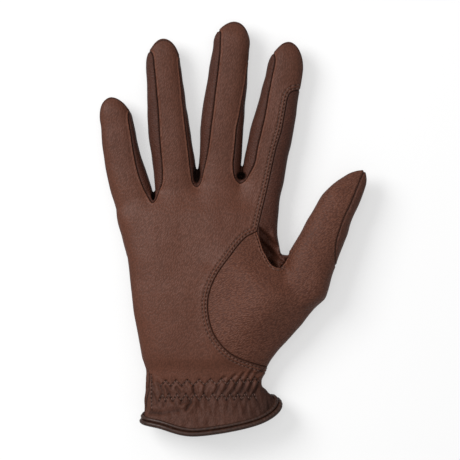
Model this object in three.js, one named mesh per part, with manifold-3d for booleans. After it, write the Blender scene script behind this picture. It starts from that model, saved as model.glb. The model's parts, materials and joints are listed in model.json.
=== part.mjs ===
// A right-hand riding glove lying palm up: a hollow leather shell of nine sewn panels.
// Millimetres, +Z up, fingers towards +Y, thumb towards +X. The shell is worked out in a drafting frame whose
// origin is the middle of the wrist at the surface it lies on; the group then moves the origin to the middle
// of the glove's underside.
import * as THREE from "three";
import { mergeVertices } from "three/addons/utils/BufferGeometryUtils.js";
import Module from "manifold-3d";

const wasm = await Module();
wasm.setup();

// Leather and seams
const LEATHER = 1.2; // wall of every panel
const SEAM_GAP = 0.3; // clearance between two panels at a seam

// Palm
const PALM_WIDTH = 85; // across the knuckles
const PALM_LENGTH = 105; // from the wrist elastic to the finger crotches
const PALM_THICKNESS = 21.5; // underside to palm at the wrist's heel
const KNUCKLE_LINE = 94; // height above the wrist of the line that finger lengths start from
const SIDE_SEAM_HEIGHT = 9; // height of the seam between palm and back
const BACK_SEAM_HEIGHT = 4.5; // height of the seam between fourchettes and back

// Fingers
const FINGER_DEPTH = 0.73; // a finger's depth as a share of its own width
const TIP_LIFT = 4; // how far a fingertip curls up from the surface
const SETTLE = 0.7; // how far the rounded underside is pressed flat
const LITTLE_LENGTH = 58.4;
const LITTLE_WIDTH = 20.4;
const RING_LENGTH = 88.6;
const RING_WIDTH = 22.6;
const MIDDLE_LENGTH = 97.5;
const MIDDLE_WIDTH = 22.7;
const INDEX_LENGTH = 87.9;
const INDEX_WIDTH = 22.6;

// Thumb
const THUMB_LENGTH = 71.2;
const THUMB_WIDTH = 24.5;
const THUMB_DEPTH = 0.8; // as a share of its width
const THUMB_ROOT_HEIGHT = 14.5; // height of the thumb's axis at its root
const THUMB_TIP_HEIGHT = 13;

// Cuff
const CUFF_WIDTH = 73;
const CUFF_LENGTH = 27; // wrist elastic to the leather's lowest edge
const CUFF_HEIGHT = 23.5;
const CUFF_FLARE = 1.7; // exponent: how late the cuff widens past the elastic
const BINDING_WIDTH = 5; // piped binding, edge to edge
const BINDING_OUTSIDE = 1.2; // how far it stands out from the leather
const BINDING_LIP = 0.8; // its turned-in inner lip
const BINDING_GRIP = 2.4; // how far it covers the leather's edge

// Facets of a section, over its upper side and under it
const PALM_FACETS = { over: 16, under: 10 };
const FINGER_FACETS = { over: 10, under: 6 };
const CAP_STEPS = 3; // rings over a rounded tip
const CAP_END = 0.35; // the share of a step left flat at its end
const STEPS_BETWEEN_ROWS = 3; // along a smooth seam in plan

const COLOURS = {
  leather: { color: 0x5c4036, roughness: 0.62, metalness: 0 },
  side: { color: 0x4c322a, roughness: 0.66, metalness: 0 },
  binding: { color: 0x382521, roughness: 0.38, metalness: 0 },
};

// up: share of PALM_LENGTH. left, right: shares of PALM_WIDTH. thick: share of PALM_THICKNESS.
const PALM_SECTIONS = [
  { up: 0.0, left: -0.364, right: 0.361, thick: 0.86 },
  { up: 0.055, left: -0.365, right: 0.388, thick: 0.9 },
  { up: 0.115, left: -0.386, right: 0.428, thick: 1.0 },
  { up: 0.235, left: -0.413, right: 0.56, thick: 1.08 },
  { up: 0.355, left: -0.438, right: 0.69, thick: 1.12 },
  { up: 0.43, left: -0.449, right: 0.758, thick: 1.13 },
  { up: 0.54, left: -0.463, right: 0.63, thick: 1.09 },
  { up: 0.6, left: -0.473, right: 0.515, thick: 1.06 },
  { up: 0.72, left: -0.502, right: 0.467, thick: 1.0 },
  { up: 0.84, left: -0.53, right: 0.466, thick: 0.93 },
  { up: 0.905, left: -0.46, right: 0.45, thick: 0.82 },
  { up: 0.95, left: -0.33, right: 0.428, thick: 0.72 },
  { up: 1.0, left: -0.13, right: 0.36, thick: 0.56 },
  { up: 1.035, left: -0.09, right: 0.28, thick: 0.4 },
  { up: 1.07, left: -0.07, right: 0.255, thick: 0.26 },
];

// Where the palm stands above its sections or dips. up, long: middle and reach as shares of PALM_LENGTH.
// across, wide: middle and reach as shares of the section's half width. rise: millimetres.
const PALM_RELIEF = {
  ballOfThumb: { up: 0.42, long: 0.24, across: 0.42, wide: 0.4, rise: 9 },
  middleOfPalm: { up: 0.45, long: 0.3, across: -0.25, wide: 0.35, rise: -3.2 },
};

// The cuff's edge, every 45 degrees from the thumb side over the palm side.
// across: share of CUFF_WIDTH. down: share of CUFF_LENGTH. height: share of CUFF_HEIGHT.
const CUFF_EDGE = [
  { across: 0.534, down: 0.41, height: 0.5 },
  { across: 0.41, down: 0.77, height: 0.9 },
  { across: -0.06, down: 1.0, height: 1.0 },
  { across: -0.31, down: 0.84, height: 0.82 },
  { across: -0.436, down: 0.73, height: 0.42 },
  { across: -0.33, down: 0.62, height: 0.15 },
  { across: 0.02, down: 0.5, height: 0.1 },
  { across: 0.38, down: 0.38, height: 0.16 },
];

// depth: share of the width. roundness: exponent of the tip's outline. root: share of PALM_WIDTH from the
// glove's middle line. splay: degrees towards the thumb. cap: where the rounded tip starts, as a share of the
// length. Sections: along is a share of the length, bow a sideways share of the width, wide a share of the
// width. Seams: side is where the seam lies, -1 at the left edge and 1 at the right one.
const LITTLE = {
  length: LITTLE_LENGTH,
  width: LITTLE_WIDTH,
  depth: FINGER_DEPTH,
  roundness: 1.8,
  root: -0.424,
  splay: -12.6,
  cap: 0.8,
  sections: [
    { along: -0.4, bow: 0.03, wide: 0.94 },
    { along: 0.0, bow: -0.03, wide: 1.03 },
    { along: 0.2, bow: -0.06, wide: 1.03 },
    { along: 0.4, bow: -0.078, wide: 0.97 },
    { along: 0.6, bow: -0.08, wide: 0.915 },
    { along: 0.8, bow: -0.034, wide: 0.814 },
    { along: 1.0, bow: -0.05, wide: 0.814 },
  ],
  rightSeam: [
    { along: 0.16, side: 0.6 },
    { along: 0.35, side: 0.66 },
    { along: 0.7, side: 0.78 },
    { along: 0.84, side: 0.88 },
    { along: 0.93, side: 1.08 },
  ],
};
const RING = {
  length: RING_LENGTH,
  width: RING_WIDTH,
  depth: FINGER_DEPTH,
  roundness: 1.8,
  root: -0.1665,
  splay: -3.95,
  cap: 0.86,
  sections: [
    { along: -0.25, bow: 0.0, wide: 0.88 },
    { along: 0.0, bow: 0.0, wide: 0.96 },
    { along: 0.2, bow: -0.006, wide: 0.99 },
    { along: 0.4, bow: -0.068, wide: 1.0 },
    { along: 0.6, bow: -0.086, wide: 0.905 },
    { along: 0.86, bow: -0.092, wide: 0.79 },
    { along: 1.0, bow: -0.06, wide: 0.79 },
  ],
  leftSeam: [
    { along: 0.08, side: -0.62 },
    { along: 0.5, side: -0.56 },
    { along: 0.8, side: -0.62 },
    { along: 0.87, side: -0.78 },
    { along: 0.94, side: -1.08 },
  ],
  rightSeam: [
    { along: 0.16, side: 0.66 },
    { along: 0.35, side: 0.72 },
    { along: 0.6, side: 0.84 },
    { along: 0.84, side: 0.9 },
    { along: 0.93, side: 1.08 },
  ],
};
const MIDDLE = {
  length: MIDDLE_LENGTH,
  width: MIDDLE_WIDTH,
  depth: FINGER_DEPTH,
  roundness: 1.8,
  root: 0.091,
  splay: 5.3,
  cap: 0.88,
  sections: [
    { along: -0.25, bow: 0.0, wide: 0.88 },
    { along: 0.0, bow: -0.02, wide: 0.95 },
    { along: 0.25, bow: -0.05, wide: 0.98 },
    { along: 0.45, bow: -0.08, wide: 1.0 },
    { along: 0.65, bow: -0.06, wide: 0.93 },
    { along: 0.88, bow: -0.028, wide: 0.855 },
    { along: 1.0, bow: 0.0, wide: 0.855 },
  ],
  leftSeam: [
    { along: 0.16, side: -0.66 },
    { along: 0.5, side: -0.58 },
    { along: 0.8, side: -0.58 },
    { along: 0.9, side: -0.74 },
    { along: 0.97, side: -1.1 },
  ],
  rightSeam: [
    { along: 0.2, side: 0.6 },
    { along: 0.35, side: 0.66 },
    { along: 0.52, side: 0.78 },
    { along: 0.7, side: 0.9 },
    { along: 0.9, side: 1.08 },
  ],
};
const INDEX = {
  length: INDEX_LENGTH,
  width: INDEX_WIDTH,
  depth: FINGER_DEPTH,
  roundness: 1.8,
  root: 0.3425,
  splay: 10.97,
  cap: 0.84,
  sections: [
    { along: -0.25, bow: -0.05, wide: 0.9 },
    { along: 0.0, bow: -0.01, wide: 0.96 },
    { along: 0.25, bow: -0.015, wide: 1.0 },
    { along: 0.45, bow: -0.004, wide: 1.0 },
    { along: 0.65, bow: 0.014, wide: 0.9 },
    { along: 0.84, bow: 0.018, wide: 0.83 },
    { along: 1.0, bow: 0.03, wide: 0.83 },
  ],
  leftSeam: [
    { along: 0.18, side: -0.64 },
    { along: 0.5, side: -0.6 },
    { along: 0.8, side: -0.66 },
    { along: 0.88, side: -0.78 },
    { along: 0.96, side: -1.1 },
  ],
  rightSeam: [
    { along: 0.08, side: 0.26 },
    { along: 0.3, side: 0.3 },
    { along: 0.6, side: 0.36 },
    { along: 0.67, side: 0.46 },
    { along: 0.72, side: 1.08 },
  ],
};
const THUMB = {
  length: THUMB_LENGTH,
  width: THUMB_WIDTH,
  depth: THUMB_DEPTH,
  roundness: 1.6,
  root: 0.606,
  splay: 27.7,
  cap: 0.7,
  sections: [
    { along: -0.3, bow: -0.4, wide: 0.6 },
    { along: 0.0, bow: 0.03, wide: 1.02 },
    { along: 0.2, bow: -0.045, wide: 1.05 },
    { along: 0.35, bow: -0.06, wide: 0.98 },
    { along: 0.5, bow: -0.085, wide: 0.915 },
    { along: 0.7, bow: -0.115, wide: 0.8 },
    { along: 1.0, bow: 0.03, wide: 0.8 },
  ],
  rightSeam: [
    { along: 0.3, side: 1.08 },
    { along: 0.38, side: 0.84 },
    { along: 0.55, side: 0.66 },
    { along: 0.75, side: 0.6 },
    { along: 0.93, side: 0.62 },
    { along: 1.02, side: 0.7 },
  ],
};
const THUMB_ROOT_UP = 0.468; // the thumb's root above the wrist, as a share of PALM_LENGTH
const THUMB_BACK_START = 0.12; // where the thumb's own back panel begins, as a share of THUMB_LENGTH

// Seam of the thumb's gusset over the palm, from the index seam round to the wrist.
// across: share of PALM_WIDTH. up: share of PALM_LENGTH.
const GUSSET_SEAM = [
  { across: 0.333, up: 0.755 },
  { across: 0.254, up: 0.72 },
  { across: 0.16, up: 0.627 },
  { across: 0.069, up: 0.519 },
  { across: 0.028, up: 0.417 },
  { across: 0.031, up: 0.325 },
  { across: 0.06, up: 0.244 },
  { across: 0.113, up: 0.18 },
  { across: 0.179, up: 0.132 },
  { across: 0.267, up: 0.099 },
  { across: 0.4, up: 0.066 },
];
// The open edge of the gusset in the crotch between thumb and index finger.
const CROTCH_EDGE = [
  { across: 0.333, up: 0.755 },
  { across: 0.352, up: 0.7 },
  { across: 0.384, up: 0.633 },
  { across: 0.43, up: 0.578 },
  { across: 0.47, up: 0.571 },
  { across: 0.509, up: 0.595 },
];
// The open air between thumb and index finger.
const THUMB_CLEFT = [
  { across: 0.53, up: 0.625 },
  { across: 0.56, up: 0.72 },
];
// Where two neighbouring fourchette seams meet at the crotch.
const CROTCHES = {
  littleRing: { across: -0.314, up: 0.918 },
  ringMiddle: { across: -0.044, up: 0.99 },
  middleIndex: { across: 0.229, up: 1.005 },
};

const UP = new THREE.Vector3(0, 0, 1);
const AHEAD = new THREE.Vector3(0, 1, 0); // from the wrist to the fingers
const ACROSS = new THREE.Vector3(1, 0, 0); // from the little finger's side to the thumb's
const CUFF_STEPS = [1, 0.66, 0.33]; // rings from the cuff's edge towards the wrist
const FAR = 3 * PALM_LENGTH; // beyond the glove on every side
const BELOW = -1; // under the surface that the glove lies on
const MERGE_DISTANCE = 1e-4;

// Value of one column of a table, smoothly between its rows.
function column(rows, key, name, at) {
  const last = rows.length - 1;
  if (at <= rows[0][key]) return rows[0][name];
  if (at >= rows[last][key]) return rows[last][name];
  const i = rows.findIndex((row) => row[key] > at) - 1;
  const [a, b, c, d] = [Math.max(i - 1, 0), i, i + 1, Math.min(i + 2, last)].map((k) => rows[k]);
  const span = c[key] - b[key];
  const t = (at - b[key]) / span;
  const slope = (from, to) => (to === from ? 0 : ((to[name] - from[name]) / (to[key] - from[key])) * span);
  const [m0, m1] = [slope(a, c), slope(b, d)];
  const [t2, t3] = [t * t, t * t * t];
  return (
    (2 * t3 - 3 * t2 + 1) * b[name] + (t3 - 2 * t2 + t) * m0 + (3 * t2 - 2 * t3) * c[name] + (t3 - t2) * m1
  );
}

const TOP_ROUNDNESS = 2.5; // exponents of a section's rounded form: 2 is an ellipse
const UNDERSIDE_ROUNDNESS = 3.2;

const power = (value, exponent) => Math.sign(value) * Math.abs(value) ** exponent;
const bell = (x) => Math.exp(-x * x);

// Angles round a section, from its right side over the top.
function turns({ over, under }) {
  const top = Array.from({ length: over }, (_, i) => (Math.PI * i) / over);
  const bottom = Array.from({ length: under }, (_, i) => Math.PI + (Math.PI * i) / under);
  return [...top, ...bottom];
}

// One closed section: rounded over the top and pressed flat where it meets the surface.
function roundedRing(facets, half, centre, side, low, high, topShape = () => 1) {
  const middle = (low + high) / 2;
  return turns(facets).map((turn) => {
    const roundness = 2 / (turn < Math.PI ? TOP_ROUNDNESS : UNDERSIDE_ROUNDNESS);
    const across = power(Math.cos(turn), roundness);
    const sine = power(Math.sin(turn), roundness);
    const reach = sine < 0 ? middle - low + SETTLE : (high - middle) * topShape(across);
    return centre.clone().addScaledVector(side, half * across).setZ(Math.max(middle + reach * sine, 0));
  });
}

// The ring moved inwards by a distance, square to the direction that the hollow runs in.
function insetRing(ring, along, distance) {
  const n = ring.length;
  return ring.map((point, i) => {
    const tangent = ring[(i + 1) % n].clone().sub(ring[(i + n - 1) % n]);
    const outwards = along.clone().cross(tangent).normalize();
    return point.clone().addScaledVector(outwards, -distance);
  });
}

// A closed solid through rings of equal length, its two ends closed by fans.
function loft(rings) {
  const n = rings[0].length;
  const points = rings.flat();
  const index = [];
  for (let r = 0; r + 1 < rings.length; r++)
    for (let i = 0; i < n; i++) {
      const [a, b] = [r * n + i, r * n + ((i + 1) % n)];
      index.push(a, b, b + n, a, b + n, a + n);
    }
  const middleOf = (ring) => ring.reduce((sum, p) => sum.add(p), new THREE.Vector3()).divideScalar(n);
  const [first, last] = [points.push(middleOf(rings[0])) - 1, points.push(middleOf(rings.at(-1))) - 1];
  const end = (rings.length - 1) * n;
  for (let i = 0; i < n; i++) {
    const next = (i + 1) % n;
    index.push(first, next, i, last, end + i, end + next);
  }
  return facing(new THREE.BufferGeometry().setFromPoints(points).setIndex(index));
}

// A closed loop through rings of equal length, the last joined to the first.
function loop(rings) {
  const n = rings[0].length;
  const index = [];
  rings.forEach((_, r) => {
    const [here, there] = [r * n, ((r + 1) % rings.length) * n];
    for (let i = 0; i < n; i++) {
      const next = (i + 1) % n;
      index.push(here + i, here + next, there + next, here + i, there + next, there + i);
    }
  });
  return facing(new THREE.BufferGeometry().setFromPoints(rings.flat()).setIndex(index));
}

// The geometry as a solid whose faces point out.
function facing(geometry) {
  const bare = new THREE.BufferGeometry().setAttribute("position", geometry.getAttribute("position"));
  bare.setIndex(geometry.index);
  const merged = mergeVertices(bare, MERGE_DISTANCE);
  const vertProperties = new Float32Array(merged.attributes.position.array);
  const triVerts = new Uint32Array(merged.index.array);
  const made = new wasm.Manifold(new wasm.Mesh({ numProp: 3, vertProperties, triVerts }));
  if (made.volume() > 0) return made;
  for (let i = 0; i < triVerts.length; i += 3) {
    [triVerts[i], triVerts[i + 1]] = [triVerts[i + 1], triVerts[i]];
  }
  return new wasm.Manifold(new wasm.Mesh({ numProp: 3, vertProperties, triVerts }));
}

// A plan outline extruded through the whole glove.
function prism(outline) {
  const options = { depth: FAR, bevelEnabled: false };
  return facing(new THREE.ExtrudeGeometry(new THREE.Shape(outline), options).translate(0, 0, BELOW));
}

// Everything above a height that rises with the fingertips past the knuckles.
function above(height) {
  const slope = TIP_LIFT / MIDDLE_LENGTH;
  const profile = new THREE.Shape();
  profile.moveTo(-FAR, height).lineTo(KNUCKLE_LINE, height);
  profile.lineTo(FAR, height + (FAR - KNUCKLE_LINE) * slope).lineTo(FAR, FAR).lineTo(-FAR, FAR);
  const geometry = new THREE.ExtrudeGeometry(profile, { depth: 2 * FAR, bevelEnabled: false });
  const turned = new THREE.Matrix4().makeBasis(AHEAD, UP, ACROSS);
  return facing(geometry.applyMatrix4(turned).translate(-FAR, 0, 0));
}

const joined = (solids) => solids.reduce((sum, solid) => sum.add(solid));
const cutBy = (solid, cutters) => cutters.reduce((left, cutter) => left.subtract(cutter), solid);

// A solid's geometry with its largest body alone, without the crumbs that a cut can leave.
function mainBody(solid) {
  const { numProp, vertProperties, triVerts } = solid.getMesh();
  const parent = Array.from({ length: vertProperties.length / numProp }, (_, i) => i);
  const root = (i) => {
    while (parent[i] !== i) i = parent[i] = parent[parent[i]];
    return i;
  };
  const corners = Array.from({ length: triVerts.length / 3 }, (_, i) => triVerts.slice(3 * i, 3 * i + 3));
  for (const [a, b, c] of corners) parent[root(b)] = parent[root(c)] = root(a);
  const sizes = Map.groupBy(corners, ([a]) => root(a));
  const largest = [...sizes.values()].sort((a, b) => b.length - a.length)[0];
  const geometry = new THREE.BufferGeometry();
  geometry.setAttribute("position", new THREE.BufferAttribute(vertProperties, numProp));
  geometry.setIndex(largest.flatMap((triangle) => [...triangle]));
  return geometry;
}

// Plan position and direction of a digit's middle line at a share of its length.
function digitFrame(digit, along) {
  const angle = THREE.MathUtils.degToRad(digit.splay);
  const ahead = new THREE.Vector3(Math.sin(angle), Math.cos(angle), 0);
  const side = new THREE.Vector3(ahead.y, -ahead.x, 0);
  const rootUp = digit === THUMB ? THUMB_ROOT_UP * PALM_LENGTH : KNUCKLE_LINE;
  const centre = new THREE.Vector3(digit.root * PALM_WIDTH, rootUp, 0)
    .addScaledVector(ahead, along * digit.length)
    .addScaledVector(side, column(digit.sections, "along", "bow", along) * digit.width);
  return { centre, ahead, side };
}

// How far into a digit's rounded tip a share of its length lies, from 0 to 1.
const intoTip = (digit, along) => THREE.MathUtils.clamp((along - digit.cap) / (1 - digit.cap), 0, 1);

// Half width of a digit at a share of its length; its tip is rounded off.
function digitHalf(digit, along) {
  const shaft = (column(digit.sections, "along", "wide", along) * digit.width) / 2;
  const past = intoTip(digit, along);
  return shaft * (1 - past ** digit.roundness) ** (1 / digit.roundness);
}

// Lowest and highest point of a digit's section.
function digitHeights(digit, along) {
  const deep = digitHalf(digit, along) * digit.depth;
  const onSurface = (column(digit.sections, "along", "wide", along) * digit.width * digit.depth) / 2;
  const finger = onSurface + TIP_LIFT * Math.max(along, 0) ** 2;
  const thumb = THREE.MathUtils.lerp(THUMB_ROOT_HEIGHT, THUMB_TIP_HEIGHT, Math.max(along, 0));
  const axis = digit === THUMB ? thumb : finger;
  return [axis - deep, axis + deep];
}

// The stations of a digit's loft: its table's rows, and the steps of its rounded tip.
function digitStations(digit) {
  const rows = digit.sections.map((row) => row.along).filter((along) => along <= digit.cap);
  const steps = Array.from({ length: CAP_STEPS }, (_, i) => {
    const turn = ((i + 1) / (CAP_STEPS + CAP_END)) * (Math.PI / 2);
    return digit.cap + Math.sin(turn) * (1 - digit.cap);
  });
  return [...rows, ...steps];
}

// A digit's outer form, or its hollow when inset by the leather.
function digitForm(digit, inset) {
  const rings = digitStations(digit).map((along) => {
    const { centre, ahead, side } = digitFrame(digit, along);
    const [low, high] = digitHeights(digit, along);
    const ring = roundedRing(FINGER_FACETS, digitHalf(digit, along), centre, side, low, high);
    const past = intoTip(digit, along);
    const inner = insetRing(ring, ahead, inset * (1 - past / 2));
    return inner.map((point) => point.addScaledVector(ahead, -inset * past));
  });
  return loft(rings);
}

// The palm's section at a share of its length.
function palmRing(up) {
  const at = (name) => column(PALM_SECTIONS, "up", name, up);
  const [left, right] = [at("left") * PALM_WIDTH, at("right") * PALM_WIDTH];
  const centre = new THREE.Vector3((left + right) / 2, up * PALM_LENGTH, 0);
  const relief = (across) =>
    Object.values(PALM_RELIEF).reduce((sum, bump) => {
      const share = bell((up - bump.up) / bump.long) * bell((across - bump.across) / bump.wide);
      return sum + (bump.rise / PALM_THICKNESS) * share;
    }, 1);
  const high = at("thick") * PALM_THICKNESS;
  return roundedRing(PALM_FACETS, (right - left) / 2, centre, ACROSS, 0, high, relief);
}

// The cuff's edge as a ring with the palm ring's facets.
function cuffRing() {
  const points = CUFF_EDGE.map(
    (row) => new THREE.Vector3(row.across * CUFF_WIDTH, -row.down * CUFF_LENGTH, row.height * CUFF_HEIGHT),
  );
  const edge = new THREE.CatmullRomCurve3(points, true, "centripetal");
  return turns(PALM_FACETS).map((turn) => edge.getPoint(turn / (2 * Math.PI)));
}

// A ring between the wrist and the cuff's edge, flaring late as leather does past an elastic.
function cuffBetween(share) {
  const [wrist, edge] = [palmRing(0), cuffRing()];
  const flare = share ** CUFF_FLARE;
  return wrist.map((point, i) => {
    const other = edge[i];
    const mixed = point.clone().lerp(other, flare);
    mixed.y = THREE.MathUtils.lerp(point.y, other.y, share);
    mixed.z = Math.max(mixed.z, 0);
    return mixed;
  });
}

// The palm with its cuff, as an outer form or as the hollow inside the leather.
function palmForm(inset) {
  const cuff = CUFF_STEPS.map(cuffBetween);
  const rings = [...cuff, ...PALM_SECTIONS.map((row) => palmRing(row.up))];
  if (!inset) return loft([insetRing(rings[0], AHEAD, 2 * LEATHER), ...rings]);
  const inner = rings.map((ring) => insetRing(ring, AHEAD, inset));
  const last = inner.at(-1).map((p) => p.clone().setY(p.y - inset));
  const beyond = inner[0].map((p) => p.clone().setY(p.y - BINDING_WIDTH));
  return loft([beyond, ...inner.slice(0, -1), last]);
}

const planPoint = (row) => new THREE.Vector2(row.across * PALM_WIDTH, row.up * PALM_LENGTH);
const flat = (point) => new THREE.Vector2(point.x, point.y);

// Plan points of a digit's seam, set over to one side by a distance.
function seamLine(digit, rows, over) {
  return rows.map((row) => {
    const { centre, side } = digitFrame(digit, row.along);
    const half = digitHalf(digit, Math.min(row.along, digit.cap));
    return flat(centre.addScaledVector(side, row.side * half + over));
  });
}

// A table's plan points as a smooth line, set over by a distance to the right of the way it runs.
function smoothLine(rows, over) {
  const line = new THREE.SplineCurve(rows.map(planPoint)).getPoints(STEPS_BETWEEN_ROWS * (rows.length - 1));
  return line.map((point, i) => {
    const way = line[Math.min(i + 1, line.length - 1)].clone().sub(line[Math.max(i - 1, 0)]).normalize();
    return new THREE.Vector2(point.x + way.y * over, point.y - way.x * over);
  });
}

// Plan outline between two fingers: both fourchette seams and the crotch, grown by a distance.
function gapOutline(left, right, crotch, grow) {
  const leftSeam = seamLine(left, left.rightSeam, -grow).reverse();
  const rightSeam = seamLine(right, right.leftSeam, grow);
  const bottom = planPoint(crotch).setY(crotch.up * PALM_LENGTH - grow);
  const inwards = Math.min(left.width, right.width) / 6;
  const leftOut = new THREE.Vector2(leftSeam[0].x + inwards, leftSeam[0].y + grow);
  const rightOut = new THREE.Vector2(rightSeam.at(-1).x - inwards, rightSeam.at(-1).y + grow);
  return [leftOut, ...leftSeam, bottom, ...rightSeam, rightOut];
}

// Plan outline of the panel along the index finger's thumb side.
function indexSideOutline(grow) {
  const seam = seamLine(INDEX, INDEX.rightSeam, -grow);
  const free = THUMB_CLEFT.map((row) => planPoint(row).setX(row.across * PALM_WIDTH + grow));
  const end = new THREE.Vector2(seam.at(-1).x + INDEX_WIDTH / 2, seam.at(-1).y + grow);
  return [...smoothLine(CROTCH_EDGE, grow), ...free, end, ...seam.reverse()];
}

// Plan outline of the thumb with its gusset.
function thumbOutline(grow) {
  const tip = digitFrame(THUMB, 1).centre;
  const [left, right] = [tip.x - THUMB_WIDTH, tip.x + THUMB_WIDTH];
  const around = [
    new THREE.Vector2(right, GUSSET_SEAM.at(-1).up * PALM_LENGTH - grow),
    new THREE.Vector2(right, tip.y + THUMB_WIDTH),
    new THREE.Vector2(left, tip.y + THUMB_WIDTH),
  ];
  const cleft = THUMB_CLEFT.map(planPoint).reverse();
  return [...smoothLine(GUSSET_SEAM, grow), ...around, ...cleft, ...smoothLine(CROTCH_EDGE, grow).reverse()];
}

// Plan outline of the thumb beyond its root, where its own back panel begins.
function thumbShaftOutline(grow) {
  const { centre, ahead, side } = digitFrame(THUMB, THUMB_BACK_START);
  const corner = (across, on) =>
    flat(centre.clone().addScaledVector(side, across).addScaledVector(ahead, on));
  const far = 2 * THUMB_LENGTH;
  return [
    corner(-THUMB_WIDTH / 2 - grow, -grow),
    corner(THUMB_WIDTH, -grow),
    corner(THUMB_WIDTH, far),
    corner(-THUMB_WIDTH, far),
    corner(-THUMB_WIDTH, THUMB_WIDTH / 2),
  ];
}

// Plan outline right of the seam along the thumb's outer side.
function thumbStripOutline(grow) {
  const seam = seamLine(THUMB, THUMB.rightSeam, -grow);
  const out = flat(digitFrame(THUMB, 0).side).multiplyScalar(THUMB_WIDTH);
  return [...seam, ...seam.map((point) => point.clone().add(out)).reverse()];
}

// The piped binding: a folded strip with two rolls that grips the cuff's edge.
// out: distance outwards from the leather's face. drop: distance past the leather's edge. The first six rows
// are the two rolls outside, the rest the turned-in lip and the groove that the leather sits in.
function bindingForm() {
  const stand = SEAM_GAP + BINDING_OUTSIDE;
  const below = BINDING_WIDTH - BINDING_GRIP;
  const inside = -(LEATHER + SEAM_GAP);
  const lip = inside - BINDING_LIP;
  const section = [
    { out: SEAM_GAP, drop: -BINDING_GRIP },
    { out: stand * 0.9, drop: -BINDING_GRIP * 0.85 },
    { out: stand, drop: -BINDING_GRIP * 0.45 },
    { out: stand * 0.72, drop: 0 },
    { out: stand, drop: below * 0.45 },
    { out: stand * 0.55, drop: below * 0.9 },
    { out: -LEATHER / 2, drop: below },
    { out: lip * 0.9, drop: below * 0.75 },
    { out: lip, drop: 0 },
    { out: lip, drop: -BINDING_GRIP * 0.8 },
    { out: inside, drop: -BINDING_GRIP },
    { out: inside, drop: SEAM_GAP },
    { out: SEAM_GAP, drop: SEAM_GAP },
  ];
  const [edge, higher] = [cuffRing(), cuffBetween(CUFF_STEPS[1])];
  const lines = section.map(({ out, drop }) => {
    const [lower, upper] = [insetRing(edge, AHEAD, -out), insetRing(higher, AHEAD, -out)];
    return lower.map((point, i) => {
      const reach = drop / edge[i].distanceTo(higher[i]);
      return point.clone().lerp(upper[i], -reach);
    });
  });
  return loop(edge.map((_, i) => lines.map((line) => line[i])));
}

const digits = [LITTLE, RING, MIDDLE, INDEX, THUMB];
const outer = joined([palmForm(0), ...digits.map((digit) => digitForm(digit, 0))]);
const hollow = joined([palmForm(LEATHER), ...digits.map((digit) => digitForm(digit, LEATHER))]);
const shell = outer.subtract(hollow);

const sideFloor = above(BACK_SEAM_HEIGHT);
const sideFloorCut = above(BACK_SEAM_HEIGHT - SEAM_GAP);
const upper = above(SIDE_SEAM_HEIGHT);
const upperCut = above(SIDE_SEAM_HEIGHT - SEAM_GAP);

const gaps = {
  fourchette_little_ring: [LITTLE, RING, CROTCHES.littleRing],
  fourchette_ring_middle: [RING, MIDDLE, CROTCHES.ringMiddle],
  fourchette_middle_index: [MIDDLE, INDEX, CROTCHES.middleIndex],
};
const fourchettes = {};
const sideCuts = [];
for (const [name, [left, right, crotch]] of Object.entries(gaps)) {
  fourchettes[name] = shell.intersect(prism(gapOutline(left, right, crotch, 0))).intersect(sideFloor);
  sideCuts.push(prism(gapOutline(left, right, crotch, SEAM_GAP)).intersect(sideFloorCut));
}
const indexSide = shell.intersect(prism(indexSideOutline(0))).intersect(sideFloor);
sideCuts.push(prism(indexSideOutline(SEAM_GAP)).intersect(sideFloorCut));

const shaft = prism(thumbShaftOutline(0));
const shaftCut = prism(thumbShaftOutline(SEAM_GAP));
const strip = prism(thumbStripOutline(0));
const stripCut = prism(thumbStripOutline(SEAM_GAP));
const thumbPlan = prism(thumbOutline(0));
const thumbPlanCut = prism(thumbOutline(SEAM_GAP));
const thumbBackPlan = shaft.subtract(upperCut).add(shaft.intersect(strip)).intersect(thumbPlan);
const thumbBackCut = shaftCut.subtract(upper).add(shaftCut.intersect(stripCut)).intersect(thumbPlanCut);

const panels = {
  palm: [cutBy(shell.intersect(upper), [...sideCuts, thumbPlanCut]), "leather"],
  back: [cutBy(shell.subtract(upperCut), [...sideCuts, thumbBackCut]), "leather"],
  fourchette_little_ring: [fourchettes.fourchette_little_ring, "side"],
  fourchette_ring_middle: [fourchettes.fourchette_ring_middle, "side"],
  fourchette_middle_index: [fourchettes.fourchette_middle_index, "side"],
  index_side: [cutBy(indexSide, [thumbPlanCut]), "side"],
  thumb_front: [cutBy(shell.intersect(thumbPlan).intersect(upper), [thumbBackCut]), "leather"],
  thumb_back: [shell.intersect(thumbBackPlan), "leather"],
  cuff_binding: [bindingForm(), "binding"],
};

const glove = new THREE.Group();
for (const [name, [solid, colour]] of Object.entries(panels)) {
  const geometry = mainBody(solid);
  geometry.computeVertexNormals();
  const panel = new THREE.Mesh(geometry, new THREE.MeshStandardMaterial(COLOURS[colour]));
  panel.name = name;
  glove.add(panel);
}

// The origin goes to the middle of the underside.
const box = new THREE.Box3().setFromObject(glove);
const middle = box.getCenter(new THREE.Vector3());
glove.position.set(-middle.x, -middle.y, -box.min.z);

export default glove;
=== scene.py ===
"""A right-hand riding glove lying palm up: sewn leather panels, topstitching, elastic wrist and piped cuff.

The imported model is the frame. The glove's form is worked out in millimetres in a drafting frame whose origin
is the middle of the wrist at the surface that the glove lies on, +Y to the fingertips and +X to the thumb.
Each panel is a closed leather shell cut from one smooth hand form along its seams, and moved into the frame
at the end.
"""

from __future__ import annotations

import json
import logging
import math
from dataclasses import dataclass, field
from enum import Enum
from typing import Callable, NamedTuple, Sequence

import bpy
import numpy as np
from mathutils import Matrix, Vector
from mathutils.bvhtree import BVHTree
from mathutils.kdtree import KDTree


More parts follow.
